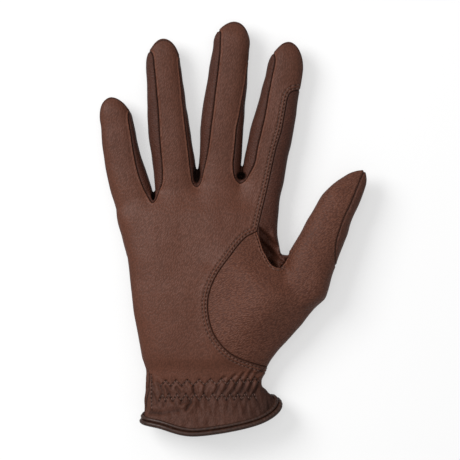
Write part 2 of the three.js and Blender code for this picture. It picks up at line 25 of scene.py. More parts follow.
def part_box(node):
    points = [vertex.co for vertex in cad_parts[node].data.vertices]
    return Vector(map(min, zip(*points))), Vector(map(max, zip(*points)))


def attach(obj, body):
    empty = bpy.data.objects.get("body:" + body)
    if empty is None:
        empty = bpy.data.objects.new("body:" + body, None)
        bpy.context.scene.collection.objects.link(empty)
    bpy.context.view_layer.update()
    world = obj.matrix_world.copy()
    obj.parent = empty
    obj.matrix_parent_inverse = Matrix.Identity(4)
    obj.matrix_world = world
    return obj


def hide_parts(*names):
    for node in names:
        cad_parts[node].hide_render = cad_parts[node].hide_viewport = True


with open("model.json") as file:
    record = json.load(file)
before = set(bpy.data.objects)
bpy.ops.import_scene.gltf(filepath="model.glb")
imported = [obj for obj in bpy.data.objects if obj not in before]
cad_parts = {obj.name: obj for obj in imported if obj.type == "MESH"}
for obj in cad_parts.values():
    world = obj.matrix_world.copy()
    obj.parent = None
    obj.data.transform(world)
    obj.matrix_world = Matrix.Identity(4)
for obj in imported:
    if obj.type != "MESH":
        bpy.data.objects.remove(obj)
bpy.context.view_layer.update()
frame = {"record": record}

LOG = logging.getLogger("riding_glove")
Array = np.ndarray
MM = 0.001
BODY = "root"

# The frame's mount lies on the glove's middle line this far above the wrist
REST_POINT_UP = 50.0
DRAFT_TO_FRAME = np.array(frame["record"]["mounts"][0]["pos_m"]) / MM - (0.0, REST_POINT_UP, 0.0)

# Driving sizes of the glove, in millimetres
LEATHER = 1.1
PALM_WIDTH = 85.0
PALM_LENGTH = 105.0
PALM_THICKNESS = 21.5
KNUCKLE_LINE = 94.0
SIDE_SEAM_HEIGHT = 9.0
BACK_SEAM_HEIGHT = 4.5
FINGER_DEPTH = 0.73
TIP_LIFT = 4.0
SETTLE = 0.7
CUFF_WIDTH = 73.0
CUFF_LENGTH = 27.0
CUFF_HEIGHT = 23.5
MIDDLE_LENGTH = 97.5
THUMB_LENGTH = 71.2
THUMB_WIDTH = 24.5
THUMB_BACK_START = 0.12
STITCH_PITCH = 2.05
THREAD_RADIUS = 0.23

# Exponents of a rounded section: 2 is an ellipse
TOP_ROUNDNESS = 2.5
UNDERSIDE_ROUNDNESS = 3.2

# Keeps the fields from dividing by nothing on a section's middle
INNERMOST = 0.01


class PalmSection(NamedTuple):
    """A cross-section of the palm: up is a share of its length, left and right of its width."""

    up: float
    left: float
    right: float
    thick: float


class CuffSection(NamedTuple):
    """A cross-section of the cuff: up is a share of its length, the rest shares of its width and height."""

    up: float
    left: float
    right: float
    low: float
    high: float


class EdgePoint(NamedTuple):
    """A point of the cuff's edge as shares of the cuff's width, length and height."""

    across: float
    down: float
    height: float


class DigitSection(NamedTuple):
    """A cross-section of a finger: along its length, bowed sideways and as wide as shares of its width."""

    along: float
    bow: float
    wide: float


class SeamPoint(NamedTuple):
    """Where a finger's seam lies: -1 is the left edge and 1 the right one."""

    along: float
    side: float


class PlanPoint(NamedTuple):
    """A point of the plan as shares of the palm's width and length."""

    across: float
    up: float


class Bump(NamedTuple):
    """A soft rise or dip of the palm: shares of its length and half width, and a height in millimetres."""

    up: float
    long: float
    across: float
    wide: float
    rise: float


def table(kind: Callable[..., tuple], *values: Sequence[float]) -> tuple:
    """Names the values of a table's rows.

    Args:
        kind: What each row is.
        values: The rows' values.

    Returns:
        The rows.
    """
    return tuple(kind(*row) for row in values)


PALM_SECTIONS = table(
    PalmSection,
    (0.0, -0.364, 0.361, 0.86), (0.055, -0.365, 0.388, 0.9), (0.115, -0.386, 0.428, 1.0),
    (0.235, -0.413, 0.56, 1.08), (0.355, -0.438, 0.69, 1.12), (0.43, -0.449, 0.75, 1.13),
    (0.54, -0.463, 0.63, 1.09), (0.6, -0.473, 0.515, 1.06), (0.72, -0.502, 0.467, 1.0),
    (0.84, -0.53, 0.466, 0.93), (0.905, -0.46, 0.45, 0.82), (0.95, -0.33, 0.428, 0.72),
    (1.0, -0.13, 0.36, 0.56), (1.035, -0.09, 0.28, 0.4), (1.07, -0.07, 0.255, 0.26),
)
PALM_RELIEF = (Bump(0.42, 0.24, 0.42, 0.4, 9.0), Bump(0.45, 0.3, -0.25, 0.35, -3.2))
CUFF_SECTIONS = table(
    CuffSection,
    (-1.3, -0.46, 0.66, 0.24, 1.02), (-1.0, -0.452, 0.63, 0.2, 1.0), (-0.74, -0.44, 0.6, 0.15, 0.93),
    (-0.6, -0.434, 0.582, 0.11, 0.885), (-0.41, -0.428, 0.538, 0.06, 0.83),
    (-0.28, -0.425, 0.485, 0.035, 0.81), (-0.2, -0.424, 0.447, 0.02, 0.8),
    (-0.12, -0.424, 0.422, 0.01, 0.793), (0.0, -0.4235, 0.4205, 0.0, 0.787),
)
CUFF_EDGE = table(
    EdgePoint,
    (0.534, 0.41, 0.5), (0.41, 0.77, 0.9), (-0.06, 1.0, 1.0), (-0.31, 0.84, 0.82), (-0.436, 0.73, 0.42),
    (-0.33, 0.62, 0.15), (0.02, 0.5, 0.1), (0.38, 0.38, 0.16),
)
GUSSET_SEAM = table(
    PlanPoint,
    (0.333, 0.755), (0.254, 0.72), (0.16, 0.627), (0.069, 0.519), (0.028, 0.417), (0.031, 0.325),
    (0.06, 0.244), (0.113, 0.18), (0.179, 0.132), (0.267, 0.099), (0.4, 0.066),
)
CROTCH_EDGE = table(
    PlanPoint,
    (0.333, 0.755), (0.345, 0.724), (0.367, 0.666), (0.389, 0.63), (0.414, 0.593), (0.434, 0.577),
    (0.457, 0.57), (0.481, 0.57), (0.509, 0.595),
)
THUMB_CLEFT = table(PlanPoint, (0.53, 0.625), (0.56, 0.72))
LITTLE_RING_CROTCH = table(
    PlanPoint,
    (-0.353, 0.943), (-0.332, 0.913), (-0.318, 0.902), (-0.3, 0.917), (-0.278, 0.966),
)
RING_MIDDLE_CROTCH = table(PlanPoint, (-0.066, 1.002), (-0.043, 0.984), (-0.02, 1.006))
MIDDLE_INDEX_CROTCH = table(PlanPoint, (0.197, 1.03), (0.226, 1.001), (0.257, 1.014), (0.287, 1.052))


def column(rows: Sequence[tuple], name: str, at: Array) -> Array:
    """Reads one column of a table smoothly between its rows.

    Args:
        rows: The table, ordered by its first column.
        name: The column to read.
        at: Where to read it, as values of the first column.

    Returns:
        The column's values there.
    """
    keys = np.array([row[0] for row in rows])
    values = np.array([getattr(row, name) for row in rows])
    slopes = np.empty_like(values)
    slopes[1:-1] = (values[2:] - values[:-2]) / (keys[2:] - keys[:-2])
    slopes[0] = (values[1] - values[0]) / (keys[1] - keys[0])
    slopes[-1] = (values[-1] - values[-2]) / (keys[-1] - keys[-2])
    at = np.clip(at, keys[0], keys[-1])
    i = np.clip(np.searchsorted(keys, at, side="right") - 1, 0, len(keys) - 2)
    span = keys[i + 1] - keys[i]
    t = (at - keys[i]) / span
    t2, t3 = t * t, t * t * t
    start = (2 * t3 - 3 * t2 + 1) * values[i] + (t3 - 2 * t2 + t) * slopes[i] * span
    return start + (3 * t2 - 2 * t3) * values[i + 1] + (t3 - t2) * slopes[i + 1] * span


def spline(points: Array, steps: int, closed: bool = False) -> Array:
    """Draws a smooth line through points.

    Args:
        points: The points, one to a row.
        steps: How many steps the line takes between two of them.
        closed: Whether the last point leads back to the first.

    Returns:
        The line's points.
    """
    if closed:
        padded = np.vstack([points[-1:], points, points[:2]])
    else:
        padded = np.vstack([2 * points[:1] - points[1:2], points, 2 * points[-1:] - points[-2:-1]])
    a, b, c, d = padded[:-3], padded[1:-2], padded[2:-1], padded[3:]
    t = (np.arange(steps) / steps)[None, :, None]
    a, b, c, d = (part[:, None, :] for part in (a, b, c, d))
    line = 0.5 * (2 * b + (c - a) * t + (2 * a - 5 * b + 4 * c - d) * t**2 + (3 * b - a - 3 * c + d) * t**3)
    line = line.reshape(-1, points.shape[1])
    return line if closed else np.vstack([line, points[-1:]])


def bell(x: Array) -> Array:
    """Gives a soft bump of height 1 at 0."""
    return np.exp(-x * x)


def ramp(x: Array, start: float, end: float) -> Array:
    """Rises smoothly from 0 at start to 1 at end."""
    t = np.clip((x - start) / (end - start), 0, 1)
    return t * t * (3 - 2 * t)


def soft_union(a: Array, b: Array, radius: float) -> Array:
    """Joins two distance fields with a fillet.

    Args:
        a: One field.
        b: The other field.
        radius: How wide the fillet is.

    Returns:
        The joined field.
    """
    near = np.maximum(radius - np.abs(a - b), 0) / radius
    return np.minimum(a, b) - near * near * radius / 4


def section(
    across: Array, height: Array, half: Array, above: Array, below: Array
) -> tuple[Array, Array]:
    """Places points in a rounded section, which is flatter under its middle than over it.

    Args:
        across: How far they lie beside its middle, as shares of half its width.
        height: How far they lie over its middle.
        half: Half its width.
        above: How far it reaches over its middle.
        below: How far it reaches under its middle.

    Returns:
        How far out they lie, 1 being on the surface, and how steeply that grows.
    """
    deep = np.where(height < 0, below, above)
    n = np.where(height < 0, UNDERSIDE_ROUNDNESS, TOP_ROUNDNESS)
    up = np.abs(height) / deep
    ring = np.maximum((across**n + up**n) ** (1 / n), INNERMOST)
    return ring, np.hypot(across ** (n - 1) / half, up ** (n - 1) / deep) * ring ** (1 - n)


class Waves:
    """Smooth, seeded undulation in space, as leather shows when no hand fills it."""

    def __init__(self, seed: int, longest: float, shortest: float, count: int = 14) -> None:
        """Draws the waves.

        Args:
            seed: Seed of their directions.
            longest: Longest wave.
            shortest: Shortest wave.
            count: How many waves are summed.
        """
        draw = np.random.default_rng(seed)
        way = draw.normal(size=(count, 3))
        way /= np.linalg.norm(way, axis=1, keepdims=True)
        lengths = draw.uniform(shortest, longest, count)
        self.pull = way * (2 * math.pi / lengths)[:, None]
        self.phase = draw.uniform(0, 2 * math.pi, count)

    def at(self, points: Array) -> Array:
        """Gives the undulation at points, mostly between -1 and 1."""
        return np.sin(points @ self.pull.T + self.phase).sum(axis=1) / math.sqrt(len(self.phase))


@dataclass(frozen=True)
class Digit:
    """A finger or the thumb: a rounded tube along a bowed line, with seams along its sides."""

    length: float
    width: float
    root: float
    splay: float
    cap: float
    sections: tuple[DigitSection, ...]
    left_seam: tuple[SeamPoint, ...] = ()
    right_seam: tuple[SeamPoint, ...] = ()
    depth: float = FINGER_DEPTH
    roundness: float = 1.8
    root_up: float = KNUCKLE_LINE
    axis_heights: tuple[float, float] | None = None
    search_wide: float = 1.6
    search_before: float = 0.12
    search_past: float = 1.15

    @property
    def ahead(self) -> Array:
        """Plan direction towards the tip."""
        return np.array([math.sin(math.radians(self.splay)), math.cos(math.radians(self.splay))])

    @property
    def side(self) -> Array:
        """Plan direction across, to the right of the way ahead."""
        return np.array([self.ahead[1], -self.ahead[0]])

    @property
    def base(self) -> Array:
        """Plan point that the length is measured from."""
        return np.array([self.root * PALM_WIDTH, self.root_up])

    def half(self, along: Array) -> Array:
        """Half the width of the tube at shares of the length."""
        return column(self.sections, "wide", along) * self.width / 2

    def middle(self, along: Array) -> Array:
        """Plan points of the bowed middle line at shares of the length."""
        bow = column(self.sections, "bow", along) * self.width
        return self.base + np.outer(along * self.length, self.ahead) + np.outer(bow, self.side)

    def axis(self, along: Array) -> Array:
        """Height of the middle line at shares of the length."""
        if self.axis_heights:
            return np.interp(along, (0, 1), self.axis_heights)
        return self.half(along) * self.depth + TIP_LIFT * np.maximum(along, 0) ** 2

    def seam(self, rows: tuple[SeamPoint, ...]) -> Array:
        """Plan points of a seam.

        Args:
            rows: The seam's table.

        Returns:
            Its plan points.
        """
        along = np.array([row.along for row in rows])
        side = np.array([row.side for row in rows])
        reach = side * self.half(np.minimum(along, self.cap))
        return self.middle(along) + np.outer(reach, self.side)

    def distance(self, points: Array) -> Array:
        """Distance to the digit's surface, negative inside.

        Args:
            points: Points in the drafting frame.

        Returns:
            The distances, exact near the surface and only large far from it.
        """
        apart = points[:, :2] - self.base
        along = apart @ self.ahead / self.length
        first = self.sections[0].along
        out = np.full(len(points), 2 * self.width)
        reach = np.abs(apart @ self.side) < self.search_wide * self.width
        ahead = (along > first - self.search_before) & (along < self.search_past)
        close = np.flatnonzero(reach & ahead)
        along, points = along[close], points[close]
        inside = np.clip(along, first, 1)
        half = self.half(inside)
        across = np.abs(apart[close] @ self.side - column(self.sections, "bow", inside) * self.width) / half
        height = points[:, 2] - self.axis(inside)
        deep = half * self.depth
        ring, slope = section(across, height, half, deep, deep + SETTLE)
        past = np.maximum((along - self.cap) / (1 - self.cap), 0)
        r = self.roundness
        whole = np.maximum((ring**r + past**r) ** (1 / r), INNERMOST)
        ahead_slope = (past / whole) ** (r - 1) / ((1 - self.cap) * self.length)
        slope = np.hypot(slope * (ring / whole) ** (r - 1), ahead_slope)
        out[close] = np.maximum((whole - 1) / slope, (first - along) * self.length)
        return out


LITTLE = Digit(
    length=58.4, width=20.4, root=-0.424, splay=-12.6, cap=0.8,
    sections=table(
        DigitSection,
        (-0.4, 0.03, 0.94), (0.0, -0.03, 1.03), (0.2, -0.06, 1.03), (0.4, -0.078, 0.97),
        (0.6, -0.08, 0.915), (0.8, -0.034, 0.814), (1.0, -0.05, 0.814),
    ),
    right_seam=table(
        SeamPoint,
        (0.14, 0.65), (0.28, 0.61), (0.43, 0.66), (0.61, 0.76), (0.79, 0.83), (0.87, 1.1),
    ),
)
RING = Digit(
    length=88.6, width=22.6, root=-0.1665, splay=-3.95, cap=0.86,
    sections=table(
        DigitSection,
        (-0.25, 0.0, 0.88), (0.0, 0.0, 0.96), (0.2, -0.006, 0.99), (0.4, -0.068, 1.0),
        (0.6, -0.086, 0.905), (0.86, -0.092, 0.79), (1.0, -0.06, 0.79),
    ),
    left_seam=table(
        SeamPoint,
        (0.14, -0.65), (0.24, -0.56), (0.38, -0.47), (0.58, -0.45), (0.71, -0.49), (0.82, -0.55),
        (0.91, -0.66), (0.94, -1.1),
    ),
    right_seam=table(
        SeamPoint,
        (0.16, 0.79), (0.25, 0.77), (0.41, 0.8), (0.53, 0.84), (0.68, 0.88), (0.85, 0.92), (0.93, 1.1),
    ),
)
MIDDLE = Digit(
    length=MIDDLE_LENGTH, width=22.7, root=0.091, splay=5.3, cap=0.88,
    sections=table(
        DigitSection,
        (-0.25, 0.0, 0.88), (0.0, -0.02, 0.95), (0.25, -0.05, 0.98), (0.45, -0.08, 1.0),
        (0.65, -0.06, 0.93), (0.88, -0.028, 0.855), (1.0, 0.0, 0.855),
    ),
    left_seam=table(
        SeamPoint,
        (0.19, -0.76), (0.29, -0.61), (0.44, -0.5), (0.64, -0.52), (0.77, -0.55), (0.89, -0.65),
        (0.935, -0.72), (0.955, -1.15),
    ),
    right_seam=table(
        SeamPoint,
        (0.21, 0.66), (0.3, 0.67), (0.41, 0.7), (0.49, 0.78), (0.6, 0.87), (0.75, 0.95), (0.9, 1.1),
    ),
)
INDEX = Digit(
    length=87.9, width=22.6, root=0.3425, splay=10.97, cap=0.84,
    sections=table(
        DigitSection,
        (-0.25, -0.05, 0.9), (0.0, -0.01, 0.96), (0.25, -0.015, 1.0), (0.45, -0.004, 1.0),
        (0.65, 0.014, 0.9), (0.84, 0.018, 0.83), (1.0, 0.03, 0.83),
    ),
    left_seam=table(
        SeamPoint,
        (0.24, -0.51), (0.35, -0.52), (0.5, -0.5), (0.65, -0.6), (0.77, -0.65), (0.88, -0.68),
        (0.95, -1.1),
    ),
    right_seam=table(
        SeamPoint,
        (0.08, 0.29), (0.21, 0.32), (0.34, 0.34), (0.47, 0.42), (0.6, 0.41), (0.665, 0.42),
        (0.705, 0.58), (0.73, 1.1),
    ),
)
THUMB = Digit(
    length=THUMB_LENGTH, width=THUMB_WIDTH, root=0.606, splay=27.7, cap=0.7,
    sections=table(
        DigitSection,
        (-0.3, -0.4, 0.6), (0.0, 0.03, 1.02), (0.2, -0.045, 1.05), (0.35, -0.06, 0.98),
        (0.5, -0.085, 0.915), (0.7, -0.115, 0.8), (1.0, 0.03, 0.8),
    ),
    right_seam=table(
        SeamPoint,
        (0.24, 1.08), (0.34, 0.82), (0.45, 0.61), (0.6, 0.57), (0.71, 0.57), (0.83, 0.38), (0.94, 0.14),
        (1.02, 0.05),
    ),
    depth=0.8,
    roundness=1.6,
    root_up=0.468 * PALM_LENGTH,
    axis_heights=(14.5, 13.0),
)


# Plan of the pocket between thumb and index finger: the rolled edge, then out across the open air
POCKET = np.array([
    (29.4, 78.2), (30.2, 73.6), (31.4, 70.0), (33.3, 66.2), (35.4, 62.5), (37.0, 60.8), (38.8, 60.0),
    (40.9, 60.0), (42.0, 60.6), (43.6, 62.4), (45.3, 65.2), (47.6, 69.5), (47.0, 80.0), (42.5, 90.0),
    (30.0, 90.0),
])


class Pit(NamedTuple):
    """A deep hollow of the form: its middle, its reach along each axis and how soft its edge is."""

    middle: tuple[float, float, float]
    reach: tuple[float, float, float]
    edge: float


@dataclass(frozen=True)
class HandForm:
    """The smooth form of the whole glove, as a field of distances to its surface."""

    between_fingers: float = 1.2
    at_knuckles: float = 4.0
    at_thumb: float = 3.0
    at_floor: float = 1.2
    pocket_edge: float = 0.8
    pocket_floor: float = 6.5
    pocket_climb: float = 14.0
    climb_span: tuple[float, float] = (66.0, 89.0)
    pocket_web: float = 8.0
    web_span: tuple[float, float] = (34.5, 41.0)
    pocket_fold: float = 0.9
    fold_pitch: float = 6.2
    pocket_search: float = 24.0
    far: float = 10.0
    pits: tuple[Pit, ...] = (
        Pit((-3.6, 110.5, 16.0), (1.9, 5.6, 14.0), 0.6),
        Pit((20.0, 108.9, 16.0), (2.7, 2.3, 13.0), 0.6),
        Pit((-26.8, 98.9, 14.0), (1.3, 3.4, 10.0), 0.6),
    )
    web: Pit = Pit((42.8, 63.0, 11.0), (3.8, 3.8, 4.5), 1.8)
    probe: float = 0.05
    longest_step: float = 0.6
    least_slope: float = 0.2

    def palm(self, points: Array) -> Array:
        """Distance to the palm with its cuff, negative inside.

        Args:
            points: Points in the drafting frame.

        Returns:
            The distances.
        """
        up = points[:, 1] / PALM_LENGTH
        down = points[:, 1] / CUFF_LENGTH
        wrist = up >= 0
        left, right = (
            np.where(
                wrist,
                column(PALM_SECTIONS, name, up) * PALM_WIDTH,
                column(CUFF_SECTIONS, name, down) * CUFF_WIDTH,
            )
            for name in ("left", "right")
        )
        low = np.where(wrist, 0, column(CUFF_SECTIONS, "low", down) * CUFF_HEIGHT)
        palm_high = column(PALM_SECTIONS, "thick", up) * PALM_THICKNESS
        high = np.where(wrist, palm_high, column(CUFF_SECTIONS, "high", down) * CUFF_HEIGHT)
        half, centre = (right - left) / 2, (left + right) / 2
        across = (points[:, 0] - centre) / half
        relief = np.ones(len(points))
        for bump in PALM_RELIEF:
            share = bell((up - bump.up) / bump.long) * bell((across - bump.across) / bump.wide)
            relief += bump.rise / PALM_THICKNESS * share
        height = points[:, 2] - (low + high) / 2
        deep = (high - low) / 2
        ring, slope = section(np.abs(across), height, half, deep * relief, deep + SETTLE)
        return np.maximum((ring - 1) / slope, points[:, 1] - PALM_SECTIONS[-1].up * PALM_LENGTH)

    def distance(self, points: Array) -> Array:
        """Distance to the glove's outer surface, negative inside.

        Args:
            points: Points in the drafting frame.

        Returns:
            The distances.
        """
        fingers = LITTLE.distance(points)
        for digit in (RING, MIDDLE, INDEX):
            fingers = soft_union(fingers, digit.distance(points), self.between_fingers)
        whole = soft_union(self.palm(points), fingers, self.at_knuckles)
        whole = soft_union(whole, THUMB.distance(points), self.at_thumb)
        apart = np.linalg.norm((points - self.web.middle) / self.web.reach, axis=1)
        whole = soft_union(whole, (apart - 1) * min(self.web.reach), self.web.edge)
        for pit in self.pits:
            inside = np.linalg.norm((points - pit.middle) / pit.reach, axis=1)
            whole = -soft_union(-whole, (inside - 1) * min(pit.reach), pit.edge)
        whole = -soft_union(-whole, self.pocket(points), self.pocket_edge)
        return -soft_union(-whole, points[:, 2], self.at_floor)

    def pocket(self, points: Array) -> Array:
        """Distance to the deep pocket between thumb and index finger, behind the gusset's rolled edge.

        Args:
            points: Points in the drafting frame.

        Returns:
            The distances, negative in the pocket.
        """
        out = np.full(len(points), self.far)
        beside = np.abs(points[:, :2] - POCKET.mean(axis=0))
        close = np.flatnonzero((beside < self.pocket_search).all(axis=1))
        plan = points[close, :2]
        floor = self.pocket_floor + self.pocket_climb * ramp(plan[:, 1], *self.climb_span)
        floor += self.pocket_web * ramp(plan[:, 0], *self.web_span)
        floor += self.pocket_fold * np.sin(plan.sum(axis=1) * 2 * math.pi / self.fold_pitch)
        out[close] = np.maximum(-Route(POCKET).within(plan), floor - points[close, 2])
        return out

    def normals(self, points: Array) -> Array:
        """Directions straight out of the surface.

        Args:
            points: Points near the surface.

        Returns:
            The field's gradient there.
        """
        steps = np.eye(3) * self.probe
        rises = [self.distance(points + step) - self.distance(points - step) for step in steps]
        return np.stack(rises, 1) / (2 * self.probe)

    def project(self, points: Array, rounds: int = 2) -> Array:
        """Moves points onto the surface.

        Args:
            points: Points near the surface.
            rounds: How often the step is taken.

        Returns:
            The moved points.
        """
        for _ in range(rounds):
            slope = self.normals(points)
            step = self.distance(points) / np.maximum((slope * slope).sum(axis=1), self.least_slope)
            points = points - slope * np.clip(step, -self.longest_step, self.longest_step)[:, None]
        return points


@dataclass
class Skin:
    """A surface of triangles."""

    points: Array
    faces: Array

    def edges(self) -> tuple[Array, Array]:
        """Finds the edges.

        Returns:
            Each edge's two ends, and the three edges of each face.
        """
        pairs = np.sort(self.faces[:, [0, 1, 1, 2, 2, 0]].reshape(-1, 2), axis=1)
        keys = pairs[:, 0] * len(self.points) + pairs[:, 1]
        _, first, inverse = np.unique(keys, return_index=True, return_inverse=True)
        return pairs[first], inverse.reshape(-1, 3)

    def split(self, ends: Array, sides: Array, marked: Array, share: Array) -> tuple[Skin, Array]:
        """Puts a point on each marked edge and divides the faces that meet there.

        Args:
            ends: Each edge's two ends.
            sides: The three edges of each face.
            marked: Which edges are split.
            share: Where on each edge its point lies, from its first end.

        Returns:
            The new surface, and for each of its faces the old one that it lies in.
        """
        middles = np.full(len(ends), -1)
        middles[marked] = len(self.points) + np.arange(marked.sum())
        a, b = self.points[ends[marked, 0]], self.points[ends[marked, 1]]
        points = np.vstack([self.points, a + (b - a) * share[marked][:, None]])
        middle = middles[sides]
        count = (middle >= 0).sum(axis=1)
        faces, parents = [self.faces[count == 0]], [np.flatnonzero(count == 0)]
        patterns = {1: ((0, 3, 2), (3, 1, 2)), 2: ((3, 1, 4), (0, 3, 4), (0, 4, 2))}
        patterns[3] = ((0, 3, 5), (3, 1, 4), (5, 4, 2), (3, 4, 5))
        for number, pattern in patterns.items():
            chosen = np.flatnonzero(count == number)
            has = middle[chosen] >= 0
            turn = has.argmax(axis=1) if number == 1 else (has.argmin(axis=1) + 1) % 3
            order = (turn[:, None] + np.arange(3)) % 3
            corners = np.take_along_axis(self.faces[chosen], order, 1)
            six = np.hstack([corners, np.take_along_axis(middle[chosen], order, 1)])
            for triangle in pattern:
                faces.append(six[:, triangle])
                parents.append(chosen)
        return Skin(points, np.vstack(faces)), np.concatenate(parents)

    def cut(self, values: Array, chosen: Array, snap: float = 0.07) -> tuple[Skin, Array, Array]:
        """Cuts chosen faces where a field on the points passes zero.

        Args:
            values: The field on the points, in millimetres.
            chosen: Which faces are cut.
            snap: How close to zero a point counts as lying on the line.

        Returns:
            The new surface, the old face of each new one, and the field on the new points.
        """
        values = np.where(np.abs(values) < snap, 0, values)
        ends, sides = self.edges()
        first, last = values[ends[:, 0]], values[ends[:, 1]]
        used = np.zeros(len(ends), bool)
        used[sides[chosen].ravel()] = True
        marked = used & (first * last < 0)
        share = np.divide(first, first - last, out=np.zeros_like(first), where=marked)
        skin, parents = self.split(ends, sides, marked, share)
        return skin, parents, np.concatenate([values, np.zeros(marked.sum())])

    def part(self, chosen: Array) -> tuple[Skin, Array]:
        """Takes some faces out as a surface of their own.

        Args:
            chosen: Which faces.

        Returns:
            The surface, and for each of its points the one it was.
        """
        used, inverse = np.unique(self.faces[chosen], return_inverse=True)
        return Skin(self.points[used], inverse.reshape(-1, 3)), used

    def rim(self) -> Array:
        """The edges that only one face has, each in the way its face runs."""
        directed = self.faces[:, [0, 1, 1, 2, 2, 0]].reshape(-1, 2)
        pairs = np.sort(directed, axis=1)
        keys = pairs[:, 0] * len(self.points) + pairs[:, 1]
        _, inverse, count = np.unique(keys, return_inverse=True, return_counts=True)
        return directed[count[inverse.ravel()] == 1]


@dataclass(frozen=True)
class Sculptor:
    """Makes the hand form's surface as evenly spaced triangles."""

    form: HandForm
    step: float = 0.95
    margin: float = 5.0
    coarse: int = 4
    band: float = 6.0
    under: int = 3

    def grid(self) -> tuple[Array, Array]:
        """Reads the form on a grid, closely only near its surface.

        Returns:
            The grid's first corner, and the distances on it.
        """
        boxes = np.array([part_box(panel.value) for panel in Panel]) / MM - DRAFT_TO_FRAME
        low, high = boxes[:, 0].min(axis=0) - self.margin, boxes[:, 1].max(axis=0) + self.margin
        low[2] = -self.under * self.step
        wide = self.step * self.coarse
        count = np.ceil((high - low) / wide).astype(int) + 1
        blocks = np.stack(np.meshgrid(*(np.arange(n) for n in count), indexing="ij"), -1).reshape(-1, 3)
        centres = low + (blocks + 0.5) * wide - self.step / 2
        rough = self.form.distance(centres)
        values = np.repeat(rough, self.coarse**3).reshape(*count, *(self.coarse,) * 3)
        fine = np.stack(np.meshgrid(*(np.arange(self.coarse),) * 3, indexing="ij"), -1).reshape(-1, 3)
        close = np.flatnonzero(np.abs(rough) < self.band)
        corners = low + blocks[close] * wide
        points = (corners[:, None, :] + fine * self.step).reshape(-1, 3)
        flat = values.reshape(len(rough), -1)
        flat[close] = self.form.distance(points).reshape(len(close), -1)
        values = flat.reshape(*count, *(self.coarse,) * 3).transpose(0, 3, 1, 4, 2, 5)
        return low, values.reshape(count * self.coarse)

    def surface(self) -> Skin:
        """Draws the surface through the grid, one point to a cell that it passes.

        Returns:
            The surface.
        """
        low, values = self.grid()
        inside = values < 0
        corners = [(i, j, k) for i in (0, 1) for j in (0, 1) for k in (0, 1)]
        size = np.array(values.shape) - 1
        window = [inside[i : i + size[0], j : j + size[1], k : k + size[2]] for i, j, k in corners]
        count = np.sum(window, axis=0, dtype=np.int8)
        cells = np.argwhere((count > 0) & (count < 8))
        number = np.full(size, -1)
        number[tuple(cells.T)] = np.arange(len(cells))
        total, hits = np.zeros((len(cells), 3)), np.zeros(len(cells))
        for a in corners:
            for axis in range(3):
                if a[axis]:
                    continue
                b = tuple(1 if k == axis else a[k] for k in range(3))
                first, last = (values[tuple((cells + corner).T)] for corner in (a, b))
                crosses = (first < 0) != (last < 0)
                share = np.divide(first, first - last, out=np.zeros_like(first), where=crosses)
                place = np.array(a) + np.outer(share, np.array(b) - a)
                total += np.where(crosses[:, None], place, 0)
                hits += crosses
        points = low + (cells + total / hits[:, None]) * self.step
        faces = []
        for axis in range(3):
            u, v = (axis + 1) % 3, (axis + 2) % 3
            near = [slice(1, -1)] * 3
            near[axis] = slice(0, -1)
            far = list(near)
            far[axis] = slice(1, None)
            here, there = inside[tuple(near)], inside[tuple(far)]
            for inwards in (True, False):
                spots = np.argwhere((here != there) & (here == inwards)) + [int(k != axis) for k in range(3)]
                around = []
                for du, dv in ((-1, -1), (0, -1), (0, 0), (-1, 0)):
                    cell = spots.copy()
                    cell[:, u] += du
                    cell[:, v] += dv
                    around.append(number[tuple(cell.T)])
                quad = np.stack(around, 1)
                quad = quad if inwards else quad[:, ::-1]
                faces += [quad[:, [0, 1, 2]], quad[:, [0, 2, 3]]]
        return Skin(self.form.project(points), np.vstack(faces))


class Panel(Enum):
    """The glove's panels, named as the frame's nodes."""

    PALM = "palm"
    BACK = "back"
    LITTLE_RING = "fourchette_little_ring"
    RING_MIDDLE = "fourchette_ring_middle"
    MIDDLE_INDEX = "fourchette_middle_index"
    INDEX_SIDE = "index_side"
    THUMB_FRONT = "thumb_front"
    THUMB_BACK = "thumb_back"


PANELS = list(Panel)
STRIPS = (Panel.LITTLE_RING, Panel.RING_MIDDLE, Panel.MIDDLE_INDEX)


class Seam(Enum):
    """How two panels are sewn together."""

    TURNED = "turned in, with the palm's edge rolled over a strip"
    CLOSED = "turned in, with both edges alike"
    LAPPED = "lapped under the palm and topstitched twice"
    ROLLED = "the thumb's rolled edge in the crotch"


def seam_between(a: Panel, b: Panel) -> Seam:
    """Says how two panels are sewn together.

    Args:
        a: One panel.
        b: The other panel.

    Returns:
        The kind of seam.
    """
    both = {a, b}
    if both in ({Panel.PALM, Panel.THUMB_FRONT}, {Panel.PALM, Panel.INDEX_SIDE}):
        return Seam.LAPPED
    if both == {Panel.INDEX_SIDE, Panel.THUMB_FRONT}:
        return Seam.ROLLED
    if Panel.PALM in both and both & set(STRIPS):
        return Seam.TURNED
    return Seam.CLOSED


